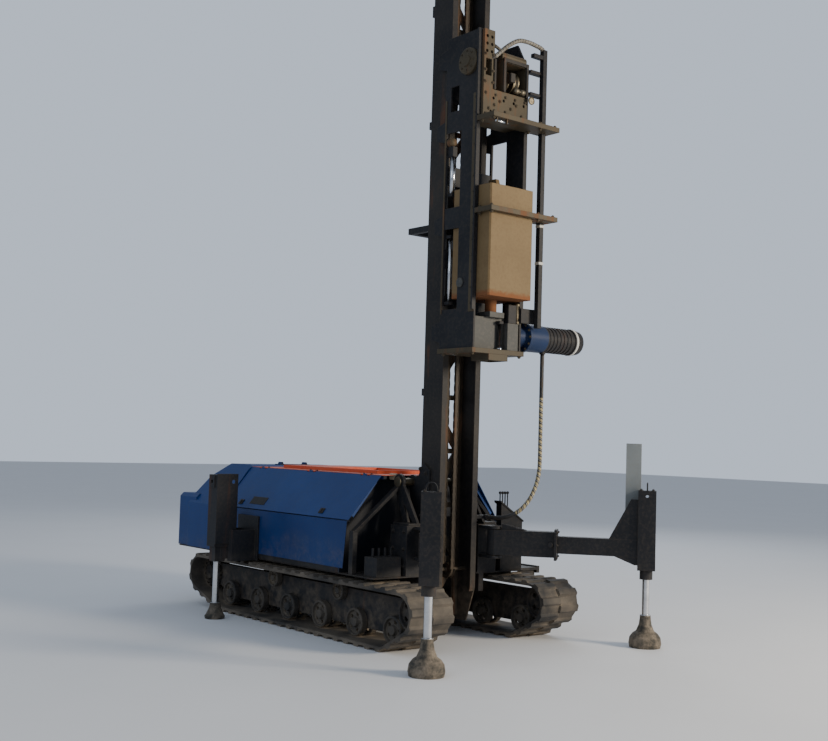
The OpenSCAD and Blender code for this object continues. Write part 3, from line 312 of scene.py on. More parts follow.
coats = {
    "blackPaint": blackLook,
    "mastPaint": mastLook,
    "laceSteel": laceLook,
    "plateSteel": plateLook,
    "ramSteel": ramLook,
    "hoodBlue": hoodLook,
    "sideBlue": sideLook,
    "roofRed": roofLook,
    "headGrey": headLook,
    "gearBlue": gearLook,
    "stowedGrey": greyLook,
    "paleStrap": greyLook | {"paint": (0.55, 0.55, 0.52), "faded": (0.62, 0.62, 0.58)},
    "creamPaint": greyLook | {"paint": (0.50, 0.44, 0.30), "faded": (0.56, 0.50, 0.36)},
}

steelBase = {
    "filmScale": 6.0, "filmRange": (0.35, 0.7), "filmRough": 0.16, "filmHigh": 0.3,
    "ringScale": (4.0, 4.0, 210.0),
    "spotScale": 55.0, "spotBlend": 0.08, "spotRough": 0.4, "spotBare": 0.8, "cornerReach": 0.06,
    "footTop": -1.0, "footBlend": 0.006, "footRough": 0.6, "clodScale": 9.0, "clodRange": (0.40, 0.62),
    "clodHigh": 2.0, "grainScale": 70.0, "grainHigh": 0.6, "cast": (0.030, 0.028, 0.022),
    "radius": 0.004, "relief": 0.35, "depth": 0.003,
}


def bareSteel(name, chosen):
    # turned or chromed steel with oil film, fine rings and a little rust, corners darkened by grime and by
    # painted shade, and caked below footTop
    look = steelBase | chosen
    f = Finish(name)
    film = f.noise(look["filmScale"], 5.0, 0.6)
    rings = f.noise(1.0, 3.0, 0.6, f.stretched(look["ringScale"]))
    spots = f.noise(look["spotScale"], 6.0, 0.75) - look["spotsFrom"]
    spots = spots.between(0.0, look["spotBlend"]) * look["spots"]
    foot = (look["footTop"] - f.height()).between(0.0, look["footBlend"])
    clods, grain = f.noise(look["clodScale"], 7.0, 0.7), f.noise(look["grainScale"], 4.0, 0.7)
    colour = f.mix(film.between(*look["filmRange"]), look["bright"], look["dull"])
    colour = f.mix(spots, colour, dirt["rust"])
    # painted shade: corners darken towards wet-dirt colour by ambient occlusion, partly grime and partly
    # painted shade
    colour = f.mix(f.corners(look["cornerReach"]) * look["grimeAndShade"], colour, dirt["wet"])
    cast = f.mix(clods.between(*look["clodRange"]), look["cast"], f.mix(grain, dirt["wet"], dirt["dry"]))
    colour = f.mix(foot, colour, cast)
    rough = look["rough"] + film * look["filmRough"] + spots * look["spotRough"] + foot * look["footRough"]
    f.set(Base_Color=colour, Roughness=rough.between(0.0, 1.0))
    f.set(Metallic=(1.0 - spots * look["spotBare"] - foot).between(0.0, 1.0))
    lumps = foot * (clods * look["clodHigh"] + grain * look["grainHigh"])
    height = rings * look["rings"] + film * look["filmHigh"] + lumps
    f.relief(height, look["relief"], look["depth"], f.rounded(look["radius"]))
    return f.material


chromeLook = {
    "bright": (0.72, 0.73, 0.75), "dull": (0.50, 0.51, 0.53), "spots": 0.5, "spotsFrom": 0.66,
    "grimeAndShade": 0.5, "rough": 0.10, "rings": 0.4,
}
turnedLook = {
    "bright": (0.24, 0.21, 0.15), "dull": (0.13, 0.105, 0.07), "spots": 0.8, "spotsFrom": 0.58,
    "grimeAndShade": 0.9, "rough": 0.44, "rings": 0.8,
}
steels = {
    "chromeRod": chromeLook,
    "frontLeg": chromeLook | {"footTop": 0.3},
    "rearLeg": chromeLook | {"footTop": 0.165},
    "turnedSteel": turnedLook,
}

treadBase = {
    "grainScale": 70.0, "clodScale": 7.0, "cornerReach": 0.05, "cornerGain": 0.9, "cakedBlend": 0.22,
    "filmScale": 2.4, "filmRange": (0.35, 0.65), "rough": 0.72, "grainRough": 0.16, "cakedRough": 0.1,
    "grainHigh": 0.5, "cakedHigh": 1.4, "swellScale": 16.0, "swellHigh": 0.5,
    "radius": 0.007, "relief": 0.55, "depth": 0.006,
}


def rubberTread(name, chosen):
    # dull rubber under a film of dry dirt, caked where it is sheltered
    look = treadBase | chosen
    f = Finish(name)
    grain, clods = f.noise(look["grainScale"], 5.0, 0.7), f.noise(look["clodScale"], 7.0, 0.7)
    caked = f.corners(look["cornerReach"]) * look["cornerGain"] + clods - look["cakedFrom"]
    caked = caked.between(0.0, look["cakedBlend"]) * look["caked"]
    film = f.noise(look["filmScale"], 5.0).between(*look["filmRange"]) * look["film"]
    colour = f.mix(film, look["rubber"], dirt["dry"])
    colour = f.mix(caked, colour, f.mix(grain, dirt["dry"], dirt["wet"]))
    rough = look["rough"] + grain * look["grainRough"] + caked * look["cakedRough"]
    f.set(Base_Color=colour, Roughness=rough.between(0.0, 1.0))
    swell = f.noise(look["swellScale"], 4.0) * look["swellHigh"]
    height = grain * look["grainHigh"] + caked * look["cakedHigh"] + swell
    f.relief(height, look["relief"], look["depth"], f.rounded(look["radius"]))
    return f.material


treads = {
    "trackRubber": {"rubber": (0.017, 0.017, 0.018), "cakedFrom": 0.64, "caked": 0.95, "film": 0.42},
    "wheelRubber": {"rubber": (0.022, 0.022, 0.023), "cakedFrom": 0.74, "caked": 0.80, "film": 0.30},
}


def woundHose(name, look):
    # rubber hose under a spiral wrap of two tones, between two distances along it
    f = Finish(name)
    uv = f.node("ShaderNodeUVMap", {"uv_map": "along"}, None, "UV")
    around, along = (f.node("ShaderNodeSeparateXYZ", None, {0: uv}, k) for k in ("X", "Y"))
    turn = f.node("ShaderNodeMath", {"operation": "FRACT"}, [around + along / look["pitch"]])
    soft = look["wrapEdge"]

    def strip(where, first, last, edge):
        return where.between(first, first + edge) * (1.0 - where.between(last, last + edge))

    band = strip(turn, *look["band"], soft)
    thin = strip(turn, *look["thin"], soft / 2)
    here = strip(along, *look["wrapped"], look["endEdge"])
    grimeAndShade = f.noise(look["grimeScale"], 6.0, 0.7).between(*look["grimeRange"])
    colour = f.mix(band * here, look["rubber"], look["bright"])
    colour = f.mix(thin * here, colour, look["pale"])
    colour = f.mix(grimeAndShade * look["grimeAndShade"], colour, dirt["wet"])
    f.set(Base_Color=colour, Roughness=(look["rough"] + grimeAndShade * look["grimeRough"]).between(0.0, 1.0))
    height = band * here + f.noise(look["grainScale"], 3.0) * look["grainHigh"]
    f.relief(height, look["relief"], look["depth"])
    return f.material


wrapLook = {
    "rubber": (0.012, 0.012, 0.013), "bright": (0.40, 0.33, 0.17), "pale": (0.38, 0.37, 0.33),
    # the wrap's turn and length in metres; the band, thin line and edge are shares of one turn
    "pitch": 0.052, "wrapped": (0.42, 1.62), "endEdge": 0.01, "band": (0.06, 0.52), "thin": (0.68, 0.80),
    "wrapEdge": 0.06, "grimeAndShade": 0.75, "grimeScale": 14.0, "grimeRange": (0.40, 0.72), "grimeRough": 0.35,
    "rough": 0.45, "grainScale": 60.0, "grainHigh": 0.2, "relief": 0.5, "depth": 0.002,
}
wraps = {
    "woundHose": wrapLook,
    "headHose": wrapLook | {
        "bright": (0.20, 0.18, 0.14), "pitch": 0.034, "wrapped": (0.06, 5.0), "grimeAndShade": 0.7,
    },
}

finishes = {}
for make, looks in ((coated, coats), (bareSteel, steels), (rubberTread, treads), (woundHose, wraps)):
    for name, look in looks.items():
        finishes[name] = make(name, look)

nodeFinishes = {
    "blackPaint": [
        "chassis_frame", "track_frames", "drive_sprockets", "idlers", "operator_platform", "lever_console",
        "valve_block", "mast_trestles", "mast_bracket", "mast_rest", "hose_anchor", "outrigger_arm_left",
        "outrigger_arm_right", "outrigger_beam_left", "outrigger_beam_right", "rear_jack_left",
        "rear_jack_right", "tilt_barrel", "carriage_frame", "front_posts", "drive_motor",
    ],
    "mastPaint": ["mast_posts", "mast_crown"],
    "laceSteel": ["mast_lattice", "lift_chain"],
    "plateSteel": ["flange_plates", "head_frame", "lift_motor"],
    "ramSteel": ["ram"],
    "hoodBlue": ["hatch_left", "hatch_right", "rear_housing"],
    "sideBlue": ["hood_shell", "mast_cradle"],
    "roofRed": ["hood_roof"],
    "headGrey": ["drive_head", "engine_block"],
    "gearBlue": ["gearbox"],
    "stowedGrey": ["ground_plate"],
    "chromeRod": ["tilt_rod"],
    "frontLeg": ["front_leg_left", "front_leg_right"],
    "rearLeg": ["rear_leg_left", "rear_leg_right"],
    "turnedSteel": ["pivot_pin", "head_sheave"],
    "trackRubber": ["track_left", "track_right", "hose_bundle"],
    "wheelRubber": ["road_wheels"],
}


def paintNodes():
    for finish, names in nodeFinishes.items():
        for name in names:
            nodes[name].data.materials.clear()
            nodes[name].data.materials.append(finishes[finish])


paintNodes()


# meshes and pieces
def appliedMesh(draft):
    # the mesh that an object's modifiers make
    bpy.context.view_layer.update()
    return bpy.data.meshes.new_from_object(draft.evaluated_get(bpy.context.evaluated_depsgraph_get()))


def builtMesh(build, name):
    mesh = bpy.data.meshes.new(name)
    build.to_mesh(mesh)
    build.free()
    return mesh


def settled(name, mesh, finish, body):
    # links a finished mesh as one piece of a body, and a piece without a body is linked with no parent
    mesh.name = name
    if finish:
        mesh.materials.clear()
        mesh.materials.append(finishes[finish])
    piece = bpy.data.objects.new(name, mesh)
    bpy.context.scene.collection.objects.link(piece)
    if body:
        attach(piece, body)
    return piece


def pointMesh(spots):
    # bolt places: (x, y, z) and the direction that the head faces
    mesh = bpy.data.meshes.new("spots")
    mesh.from_pydata([place for place, facing in spots], [], [])
    mesh.attributes.new("facing", "FLOAT_VECTOR", "POINT")
    mesh.attributes["facing"].data.foreach_set("vector", [v for place, facing in spots for v in facing])
    return mesh


def ringMesh(points):
    # closed line through the points
    mesh = bpy.data.meshes.new("ring")
    count = len(points)
    mesh.from_pydata(points, [(k, (k + 1) % count) for k in range(count)], [])
    return mesh


def smoothed(points, steps):
    # the same curve through the points as the part's own
    last = len(points) - 1
    out = []
    for i in range(last):
        a, b, c, d = (Vector(points[min(max(i + k, 0), last)]) for k in (-1, 0, 1, 2))
        for k in range(steps):
            t = k / steps
            slope, bend = (c - a) * t, (2 * a - 5 * b + 4 * c - d) * t * t
            out.append(0.5 * (2 * b + slope + bend + (3 * b - a - 3 * c + d) * t ** 3))
    return out + [Vector(points[last])]


def circle(centre, side, other, radius, sides):
    turns = (2 * math.pi * j / sides for j in range(sides))
    return [centre + (side * math.cos(q) + other * math.sin(q)) * radius for q in turns]


# a direction that no hose starts along, and the sides of a tube and of a lathe shape
awry = Vector((0.13, 0.31, 0.94))
hoseSides = 12
turnedSides = 32


def tubeMesh(points, radius, sides):
    # closed tube with a UV map: once round, and metres along
    rings, reach = [], [0.0]
    for k, point in enumerate(points):
        along = (points[min(k + 1, len(points) - 1)] - points[max(k - 1, 0)]).normalized()
        if k == 0:
            side = along.cross(awry).normalized()
        else:
            side = (side - along * side.dot(along)).normalized()
            reach.append(reach[-1] + (point - points[k - 1]).length)
        rings.append(circle(point, side, along.cross(side), radius, sides))
    build = bmesh.new()
    layer = build.loops.layers.uv.new("along")
    verts = [[build.verts.new(v) for v in ring] for ring in rings]
    for k, (low, high) in enumerate(zip(verts, verts[1:])):
        for j in range(sides):
            after = (j + 1) % sides
            face = build.faces.new([low[j], low[after], high[after], high[j]])
            face.smooth = True
            for loop, (u, v) in zip(face.loops, ((j, k), (j + 1, k), (j + 1, k + 1), (j, k + 1))):
                loop[layer].uv = (u / sides, reach[v])
    build.faces.new(list(reversed(verts[0])))
    build.faces.new(verts[-1])
    return builtMesh(build, "tube")


def turnedMesh(profile, place, axis):
    # closed lathe shape: profile of (radius, height) along an axis from a place, with radius 0 at both ends
    axis = Vector(axis).normalized()
    side = axis.orthogonal().normalized()
    other = axis.cross(side)
    build = bmesh.new()
    rings = []
    for radius, height in profile:
        centre = Vector(place) + axis * height
        ring = circle(centre, side, other, radius, turnedSides) if radius else [centre]
        rings.append([build.verts.new(v) for v in ring])
    for low, high in zip(rings, rings[1:]):
        for j in range(turnedSides):
            k = (j + 1) % turnedSides
            if len(low) == 1:
                build.faces.new([low[0], high[k], high[j]])
            elif len(high) == 1:
                build.faces.new([low[j], low[k], high[0]])
            else:
                build.faces.new([low[j], low[k], high[k], high[j]])
    bmesh.ops.recalc_face_normals(build, faces=build.faces)
    for face in build.faces:
        face.smooth = True
    return builtMesh(build, "turned")


def boxesMesh(boxes, bevel):
    # bevelled blocks, each a pair of corners
    build = bmesh.new()
    for low, high in boxes:
        part = bmesh.ops.create_cube(build, size=1.0)["verts"]
        for vert in part:
            vert.co = Vector([low[k] if vert.co[k] < 0 else high[k] for k in range(3)])
        edges = list({edge for vert in part for edge in vert.link_edges})
        bmesh.ops.bevel(build, geom=edges, offset=bevel, segments=1, affect="EDGES")
    bmesh.ops.recalc_face_normals(build, faces=build.faces)
    return builtMesh(build, "blocks")


# geometry trees for what repeats, grown over plain base meshes
class Growth(Tree):
    def __init__(self, name, inputs):
        self.group = bpy.data.node_groups.new(name, "GeometryNodeTree")
        super().__init__(self.group)
        sockets = self.group.interface
        sockets.new_socket("Geometry", in_out="INPUT", socket_type="NodeSocketGeometry")
        for label, (kind, value) in inputs.items():
            sockets.new_socket(label, in_out="INPUT", socket_type=kind).default_value = value
        sockets.new_socket("Material", in_out="INPUT", socket_type="NodeSocketMaterial")
        sockets.new_socket("Geometry", in_out="OUTPUT", socket_type="NodeSocketGeometry")
        self.source = self.tree.nodes.new("NodeGroupInput")
        self.result = self.tree.nodes.new("NodeGroupOutput")

    def given(self, label):
        return Flow(self, self.source.outputs[label])

    def moved(self, shape, shift=(0.0, 0.0, 0.0), turn=(0.0, 0.0, 0.0), scale=(1.0, 1.0, 1.0)):
        sockets = {"Geometry": shape, "Translation": shift, "Rotation": turn, "Scale": scale}
        return self.node("GeometryNodeTransform", None, sockets)

    def vector(self, x=0.0, y=0.0, z=0.0):
        return self.node("ShaderNodeCombineXYZ", None, [x, y, z])

    def drum(self, sides, radius, depth):
        sockets = {"Vertices": sides, "Radius": radius, "Depth": depth}
        return self.node("GeometryNodeMeshCylinder", None, sockets)

    def joined(self, *shapes):
        made = self.tree.nodes.new("GeometryNodeJoinGeometry")
        for shape in shapes:
            self.tree.links.new(shape.socket, made.inputs[0])
        return Flow(self, made.outputs[0])

    def placed(self, points, instance, turned):
        sockets = {"Points": points, "Instance": instance, "Rotation": turned}
        return self.node("GeometryNodeInstanceOnPoints", None, sockets)

    def close(self, shape):
        plain = self.node("GeometryNodeRealizeInstances", None, {"Geometry": shape})
        sockets = {"Geometry": plain, "Material": self.given("Material")}
        self.feed(self.result.inputs[0], self.node("GeometryNodeSetMaterial", None, sockets))
        return self.group


boltShape = {
    # washer, head and thread's end: sides, then radius, depth and middle as shares of the head's size
    "stack": [(12, 1.5, 0.3, 0.15), (6, 1.0, 1.0, 0.75), (8, 0.5, 0.5, 1.4)],
    "spin": 1.05,
}


def boltTree(values):
    # a hexagon head on its washer at each point, turned by chance round the point's own direction
    g = Growth("boltSpread", {
        "Radius": ("NodeSocketFloat", 0.012),
        "Height": ("NodeSocketFloat", 0.010),
        "Seed": ("NodeSocketInt", 7),
    })
    radius, height = g.given("Radius"), g.given("Height")
    stack = [
        g.moved(g.drum(sides, radius * wide, height * deep), g.vector(z=height * middle))
        for sides, wide, deep, middle in values["stack"]
    ]
    facing = g.node("GeometryNodeInputNamedAttribute", {"data_type": "FLOAT_VECTOR"}, {"Name": "facing"})
    turned = g.node("FunctionNodeAlignRotationToVector", {"axis": "Z"}, {"Vector": facing})
    placed = g.placed(g.given("Geometry"), g.joined(*stack), turned)
    limits = {"Max": values["spin"], "Seed": g.given("Seed")}
    chance = g.node("FunctionNodeRandomValue", {"data_type": "FLOAT"}, limits, 1)
    spun = {"Instances": placed, "Rotation": g.vector(z=chance)}
    return g.close(g.node("GeometryNodeRotateInstances", None, spun))


linkShape = {
    "plateSides": 12,
    "plateLength": 1.28,  # of the pitch
    "pinSides": 10,
    "pinRadius": 0.26,  # of the plate's height
    "pinReach": 3.2,  # plate thicknesses, both plates included
}


def linkTree(values):
    # two plates and a roller at each step along a loop that lies across the Y axis
    g = Growth("linksAlongLoop", {
        "Pitch": ("NodeSocketFloat", 0.06),
        "Plate height": ("NodeSocketFloat", 0.02),
        "Plate thickness": ("NodeSocketFloat", 0.005),
        "Inner width": ("NodeSocketFloat", 0.04),
    })
    pitch, tall = g.given("Pitch"), g.given("Plate height")
    thick, wide = g.given("Plate thickness"), g.given("Inner width")
    curve = g.node("GeometryNodeMeshToCurve", None, {"Mesh": g.given("Geometry")})
    steps = g.node("GeometryNodeResampleCurve", {"mode": "LENGTH"}, {"Curve": curve, "Length": pitch})
    across = (math.pi / 2, 0.0, 0.0)
    plate = g.moved(g.drum(values["plateSides"], 0.5, 1.0), turn=across)
    plate = g.moved(plate, scale=g.vector(pitch * values["plateLength"], thick, tall))
    far = g.moved(plate, g.vector(y=wide * 0.5 + thick * 0.5))
    near = g.moved(plate, g.vector(y=wide * -0.5 - thick * 0.5))
    pinLength = wide + thick * values["pinReach"]
    pin = g.moved(g.drum(values["pinSides"], tall * values["pinRadius"], pinLength), turn=across)
    along = g.node("GeometryNodeInputTangent")
    axes = {"axis": "X", "pivot_axis": "Y"}
    turned = g.node("FunctionNodeAlignRotationToVector", axes, {"Vector": along})
    return g.close(g.placed(steps, g.joined(far, near, pin), turned))


growths = {"bolts": boltTree(boltShape), "links": linkTree(linkShape)}


def grown(name, base, tree, values, finish, body):
    # runs a tree on a base mesh and keeps the result as a plain mesh that rides on its body
    draft = bpy.data.objects.new(name + ".draft", base)
    bpy.context.scene.collection.objects.link(draft)
    made = draft.modifiers.new("growth", "NODES")
    made.node_group = growths[tree]
    for item in growths[tree].interface.items_tree:
        if item.item_type == "SOCKET" and item.in_out == "INPUT":
            if item.name in values:
                made[item.identifier] = values[item.name]
            elif item.name == "Material":
                made[item.identifier] = finishes[finish]
    mesh = appliedMesh(draft)
    bpy.data.objects.remove(draft)
    return settled(name, mesh, None, body)


print("rig: hose")

hoseSet = {
    "radius": 0.020,
    "steps": 5,
    # the part's route, from the anchor on the mast up to the motor's gland
    "route": [
        (1.352, 0.352, 1.150), (1.396, 0.352, 1.150), (1.440, 0.352, 1.150), (1.545, 0.362, 1.157),
        (1.639, 0.397, 1.187), (1.700, 0.459, 1.245), (1.724, 0.529, 1.322), (1.726, 0.591, 1.407),
        (1.719, 0.642, 1.497), (1.710, 0.677, 1.597), (1.705, 0.690, 1.700), (1.705, 0.690, 1.908),
        (1.705, 0.690, 2.115), (1.705, 0.690, 2.323), (1.705, 0.690, 2.530), (1.705, 0.690, 2.738),
    ],
    # heights on the straight fall where it would pass from the mast's motion to the carriage's; the script
    # reads them and makes no use of them
    "fall": (1.705, 0.690),
    "bendsFrom": 1.60,
    "bendsTo": 2.738,
}


def layHose(values):
    points = smoothed([at(*p) for p in reversed(values["route"])], values["steps"])
    length = sum((b - a).length for a, b in zip(points, points[1:]))
    hose = settled("motor_hose", tubeMesh(points, values["radius"], hoseSides), "woundHose", None)
    start, end = (at(*values["fall"], values[k]) for k in ("bendsFrom", "bendsTo"))
    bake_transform(hose)
    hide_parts("hose_bundle")
    print("rig: hose length", round(length, 3))


layHose(hoseSet)


print("rig: carriage")

windowSet = {
    "rear": 1.352,
    "front": 1.560,
    "heights": [(3.10, 3.86), (4.06, 4.78)],
    "recess": ((1.40, 4.98), (1.515, 5.22)),
    "plate": (0.270, 0.312),  # a cut's reach through a side plate, from the machine's middle
    "weld": 0.00002,
}


def recutCarriage(values):
    # the side plates are open between their cross plates, which the plain collision shape isn't
    build = bmesh.new()
    build.from_mesh(nodes["carriage_frame"].data)
    bmesh.ops.remove_doubles(build, verts=build.verts, dist=values["weld"])
    windows = [((values["rear"], low), (values["front"], high)) for low, high in values["heights"]]
    inner, outer = values["plate"]
    cuts = []
    for (x0, z0), (x1, z1) in windows + [values["recess"]]:
        for side in (-1, 1):
            ends = (at(x0, side * inner, z0), at(x1, side * outer, z1))
            cuts.append((tuple(map(min, *ends)), tuple(map(max, *ends))))
    cutter = bpy.data.objects.new("cutter", boxesMesh(cuts, 0.0))
    draft = bpy.data.objects.new("draft", builtMesh(build, "plates"))
    for made in (cutter, draft):
        bpy.context.scene.collection.objects.link(made)
    cut = draft.modifiers.new("cut", "BOOLEAN")
    cut.operation, cut.solver, cut.object = "DIFFERENCE", "EXACT", cutter
    done = appliedMesh(draft)
    for made in (cutter, draft):
        bpy.data.objects.remove(made)
    piece = settled("carriage_plates", done, "blackPaint", "carriage")
    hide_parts("carriage_frame")


recutCarriage(windowSet)

# what a small piece rides on and is made of: body, finish and slot
madeAs = {
    "plates": ("carriage", "plateSteel", "grey_steel"),
    "black": ("carriage", "blackPaint", "black_steel"),
    "yoke": ("carriage", "mastPaint", "grey_steel"),
    "straps": ("carriage", "paleStrap", "grey_steel"),
    "chrome": ("carriage", "chromeRod", "chrome"),
    "turned": ("carriage", "turnedSteel", "grey_steel"),
    "grey": ("carriage", "headGrey", "grey_steel"),
    "hoses": ("carriage", "headHose", "rubber"),
    "mast": ("mast", "blackPaint", "black_steel"),
    "cream": ("chassis", "creamPaint", "grey_steel"),
}

# bevelled blocks by their lowest and highest corners
blockSets = {
    "side_strips": {"as": "plates", "bevel": 0.001, "corners": [
        ((1.722, -0.3060, 3.06), (1.797, -0.3012, 5.10)),
        ((1.722, 0.3012, 3.06), (1.797, 0.3060, 5.10)),
        ((1.328, -0.3060, 3.06), (1.349, -0.3012, 5.10)),
        ((1.328, 0.3012, 3.06), (1.349, 0.3060, 5.10)),
    ]},
    "guide_brackets": {"as": "black", "bevel": 0.003, "corners": [
        ((1.350, -0.2815, 4.18), (1.425, -0.2250, 4.21)),
        ((1.348, -0.2815, 4.56), (1.425, -0.2250, 4.66)),
        ((1.350, -0.2815, 3.15), (1.420, -0.2300, 3.18)),
        ((1.350, -0.2815, 3.78), (1.420, -0.2300, 3.81)),
    ]},
    "post_straps": {"as": "straps", "bevel": 0.002, "corners": [
        ((1.841, 0.421, 3.565), (1.899, 0.479, 3.592)),
        ((1.841, 0.421, 3.920), (1.899, 0.479, 3.947)),
    ]},
    "post_block": {"as": "black", "bevel": 0.003, "corners": [
        ((1.845, 0.300, 5.541), (1.895, 0.426, 5.580)),
    ]},
    "head_column": {"as": "black", "bevel": 0.005, "corners": [
        ((1.748, 0.135, 2.984), (1.800, 0.240, 3.165)),
    ]},
    "rod_bracket": {"as": "black", "bevel": 0.003, "corners": [
        ((1.739, 0.030, 2.972), (1.798, 0.080, 3.000)),
    ]},
    "pin_brackets": {"as": "plates", "bevel": 0.002, "corners": [
        ((1.985, -0.272, 4.780), (2.015, -0.258, 4.826)),
        ((1.985, -0.148, 4.780), (2.015, -0.134, 4.826)),
    ]},
    "mast_blocks": {"as": "mast", "bevel": 0.004, "corners": [
        ((1.005, -0.238, 4.900), (1.041, -0.160, 4.975)),
        ((1.005, -0.238, 6.020), (1.041, -0.140, 6.130)),
        ((1.005, -0.238, 2.300), (1.041, -0.170, 2.370)),
    ]},
    "head_yoke": {"as": "yoke", "bevel": 0.004, "corners": [
        ((1.832, -0.045, 5.142), (1.850, -0.012, 5.470)),
        ((1.832, 0.250, 5.142), (1.850, 0.281, 5.470)),
        ((1.832, -0.045, 5.432), (1.852, 0.281, 5.466)),
        ((1.832, -0.160, 5.142), (1.846, -0.135, 5.430)),
        ((1.790, 0.050, 5.255), (1.846, 0.110, 5.345)),
    ]},
    "apex_box": {"as": "cream", "bevel": 0.004, "corners": [
        ((0.790, -0.4295, 1.484), (0.885, -0.4000, 1.545)),
    ]},
}

# lathe shapes: a profile of radius and height from a place along an axis
turnedSets = {
    "guide_rod_high": {
        "as": "chrome", "place": (1.395, -0.254, 4.205), "axis": (0, 0, 1),
        "profile": [(0, 0), (0.027, 0), (0.027, 0.36), (0, 0.36)],
    },
    "guide_motor": {
        "as": "plates", "place": (1.348, -0.262, 4.70), "axis": (1, 0, 0),
        "profile": [
            (0, 0), (0.038, 0), (0.042, 0.006), (0.042, 0.030), (0.034, 0.034), (0.034, 0.072), (0, 0.072),
        ],
    },
    "motor_band": {
        "as": "straps", "place": (1.700, 1.046, 2.880), "axis": (0, 1, 0),
        "profile": [(0, 0), (0.1325, 0), (0.1325, 0.026), (0, 0.026)],
    },
    "guide_rod_low": {
        "as": "chrome", "place": (1.395, -0.255, 3.175), "axis": (0, 0, 1),
        "profile": [(0, 0), (0.020, 0), (0.020, 0.61), (0, 0.61)],
    },
    "head_rod": {
        "as": "chrome", "place": (1.768, 0.055, 2.729), "axis": (0, 0, 1),
        "profile": [(0, 0), (0.030, 0), (0.030, 0.022), (0.017, 0.024), (0.017, 0.245), (0, 0.245)],
    },
    "head_cylinder": {
        "as": "turned", "place": (1.768, 0.272, 2.984), "axis": (0, 0, 1),
        "profile": [
            (0, 0), (0.030, 0), (0.030, 0.030), (0.026, 0.034), (0.026, 0.170), (0.031, 0.172),
            (0.031, 0.196), (0.020, 0.204), (0, 0.204),
        ],
    },
    "plate_tube": {
        "as": "turned", "place": (1.872, -0.215, 4.8925), "axis": (0, 1, 0),
        "profile": [(0, 0), (0.023, 0), (0.023, 0.42), (0, 0.42)],
    },
    "plate_pin": {
        "as": "chrome", "place": (2.000, -0.280, 4.795), "axis": (0, 1, 0),
        "profile": [(0, 0), (0.012, 0.002), (0.012, 0.156), (0, 0.158)],
    },
    "head_rollers": {
        "as": "turned", "place": (1.866, 0.075, 5.172), "axis": (0, 1, 0),
        "profile": [
            (0, 0), (0.026, 0), (0.026, 0.050), (0.014, 0.052), (0.014, 0.075), (0.026, 0.077),
            (0.026, 0.128), (0, 0.128),
        ],
    },
    "post_ring": {
        "as": "turned", "place": (1.862, 0.300, 5.120), "axis": (1, 0, 0),
        "profile": [(0, 0), (0.034, 0), (0.038, 0.004), (0.038, 0.012), (0.018, 0.012), (0, 0.008)],
    },
    "near_gauge": {
        "as": "grey", "place": (1.600, -0.3005, 3.34), "axis": (0, -1, 0),
        "profile": [(0, 0), (0.045, 0), (0.045, 0.010), (0.036, 0.014), (0, 0.014)],
    },
}

# short hoses that end on the carriage at both ends, smoothed by so many steps between their points
pipeSteps = 4
pipeSets = {
    "head_arc": {"as": "hoses", "radius": 0.021, "points": [
        (1.80, -0.190, 5.42), (1.835, -0.130, 5.47), (1.862, -0.020, 5.575), (1.870, 0.110, 5.655),
        (1.870, 0.235, 5.672), (1.870, 0.340, 5.664), (1.870, 0.420, 5.650), (1.870, 0.450, 5.625),
    ]},
    "wheel_hose": {"as": "hoses", "radius": 0.016, "points": [
        (1.70, -0.165, 5.625), (1.70, -0.090, 5.628), (1.70, -0.010, 5.610), (1.72, 0.040, 5.570),
        (1.74, 0.060, 5.525),
    ]},
}


def placePiece(name, mesh, values):
    body, finish, slot = madeAs[values["as"]]
    settled(name, mesh, finish, body)


def placePieces():
    for name, values in blockSets.items():
        corners = [(at(*low), at(*high)) for low, high in values["corners"]]
        placePiece(name, boxesMesh(corners, values["bevel"]), values)
    for name, values in turnedSets.items():
        placePiece(name, turnedMesh(values["profile"], at(*values["place"]), values["axis"]), values)
    for name, values in pipeSets.items():
        points = smoothed([at(*p) for p in values["points"]], pipeSteps)
        placePiece(name, tubeMesh(points, values["radius"], hoseSides), values)


placePieces()


print("rig: hatches")

# latches and pads lie in a hatch's own frame: along the machine, down the slope, out of the face; a pad is a
# black plate that paints the shade of a recess in the hatch
hatchSet = {
    "hinge": (0.600, 1.527),
    "crease": (0.950, 1.097),
    "latches": [-1.15, 0.35],
    "latchPlate": ((-0.035, 0.440, -0.002), (0.035, 0.500, 0.010)),
    "latchKey": ((-0.012, 0.452, 0.008), (0.012, 0.494, 0.020)),
    # painted shade: a black plate where the hatch shows the dark of a recess
    "shadePads": [((-0.985, 0.385, -0.002), (-0.700, 0.480, 0.004))],
    "bevel": 0.002,
}


def hatchFrame(side, values):
    # turns a hatch's own frame, which starts on its hinge, into the machine's
    (hingeY, hingeZ), (creaseY, creaseZ) = values["hinge"], values["crease"]
    down = Vector((0.0, creaseY - hingeY, creaseZ - hingeZ)).normalized()
    out = Vector((0.0, -down.z, down.y))
    axes = Matrix(((1, 0, 0), (0, side * down.y, down.z), (0, side * out.y, out.z))).transposed()
    return Matrix.Translation(at(0.0, side * hingeY, hingeZ)) @ axes.to_4x4()


def dressHatch(side, body, values):
    blocks = []
    for x in values["latches"]:
        for block in (values["latchPlate"], values["latchKey"]):
            blocks.append([(x + u, v, w) for u, v, w in block])
    mesh = boxesMesh(blocks + values["shadePads"], values["bevel"])
    mesh.transform(hatchFrame(side, values))
    if side < 0:
        mesh.flip_normals()
    settled(body + "_latches", mesh, "blackPaint", body)


for side, body in ((-1, "hatch_right"), (1, "hatch_left")):
    dressHatch(side, body, hatchSet)


print("rig: bolts and chain")

armSet = {"pin": (1.400, 0.405), "angle": 40.0, "length": 1.440, "collar": 0.605, "jackTop": 1.460}


def armPoint(side, along, across, height):
    # a place by its distance along an arm from the pin and across it
    angle = math.radians(armSet["angle"])
    x = armSet["pin"][0] + along * math.cos(angle) - across * math.sin(angle)
    y = armSet["pin"][1] + along * math.sin(angle) + across * math.cos(angle)
    return at(x, side * y, height)


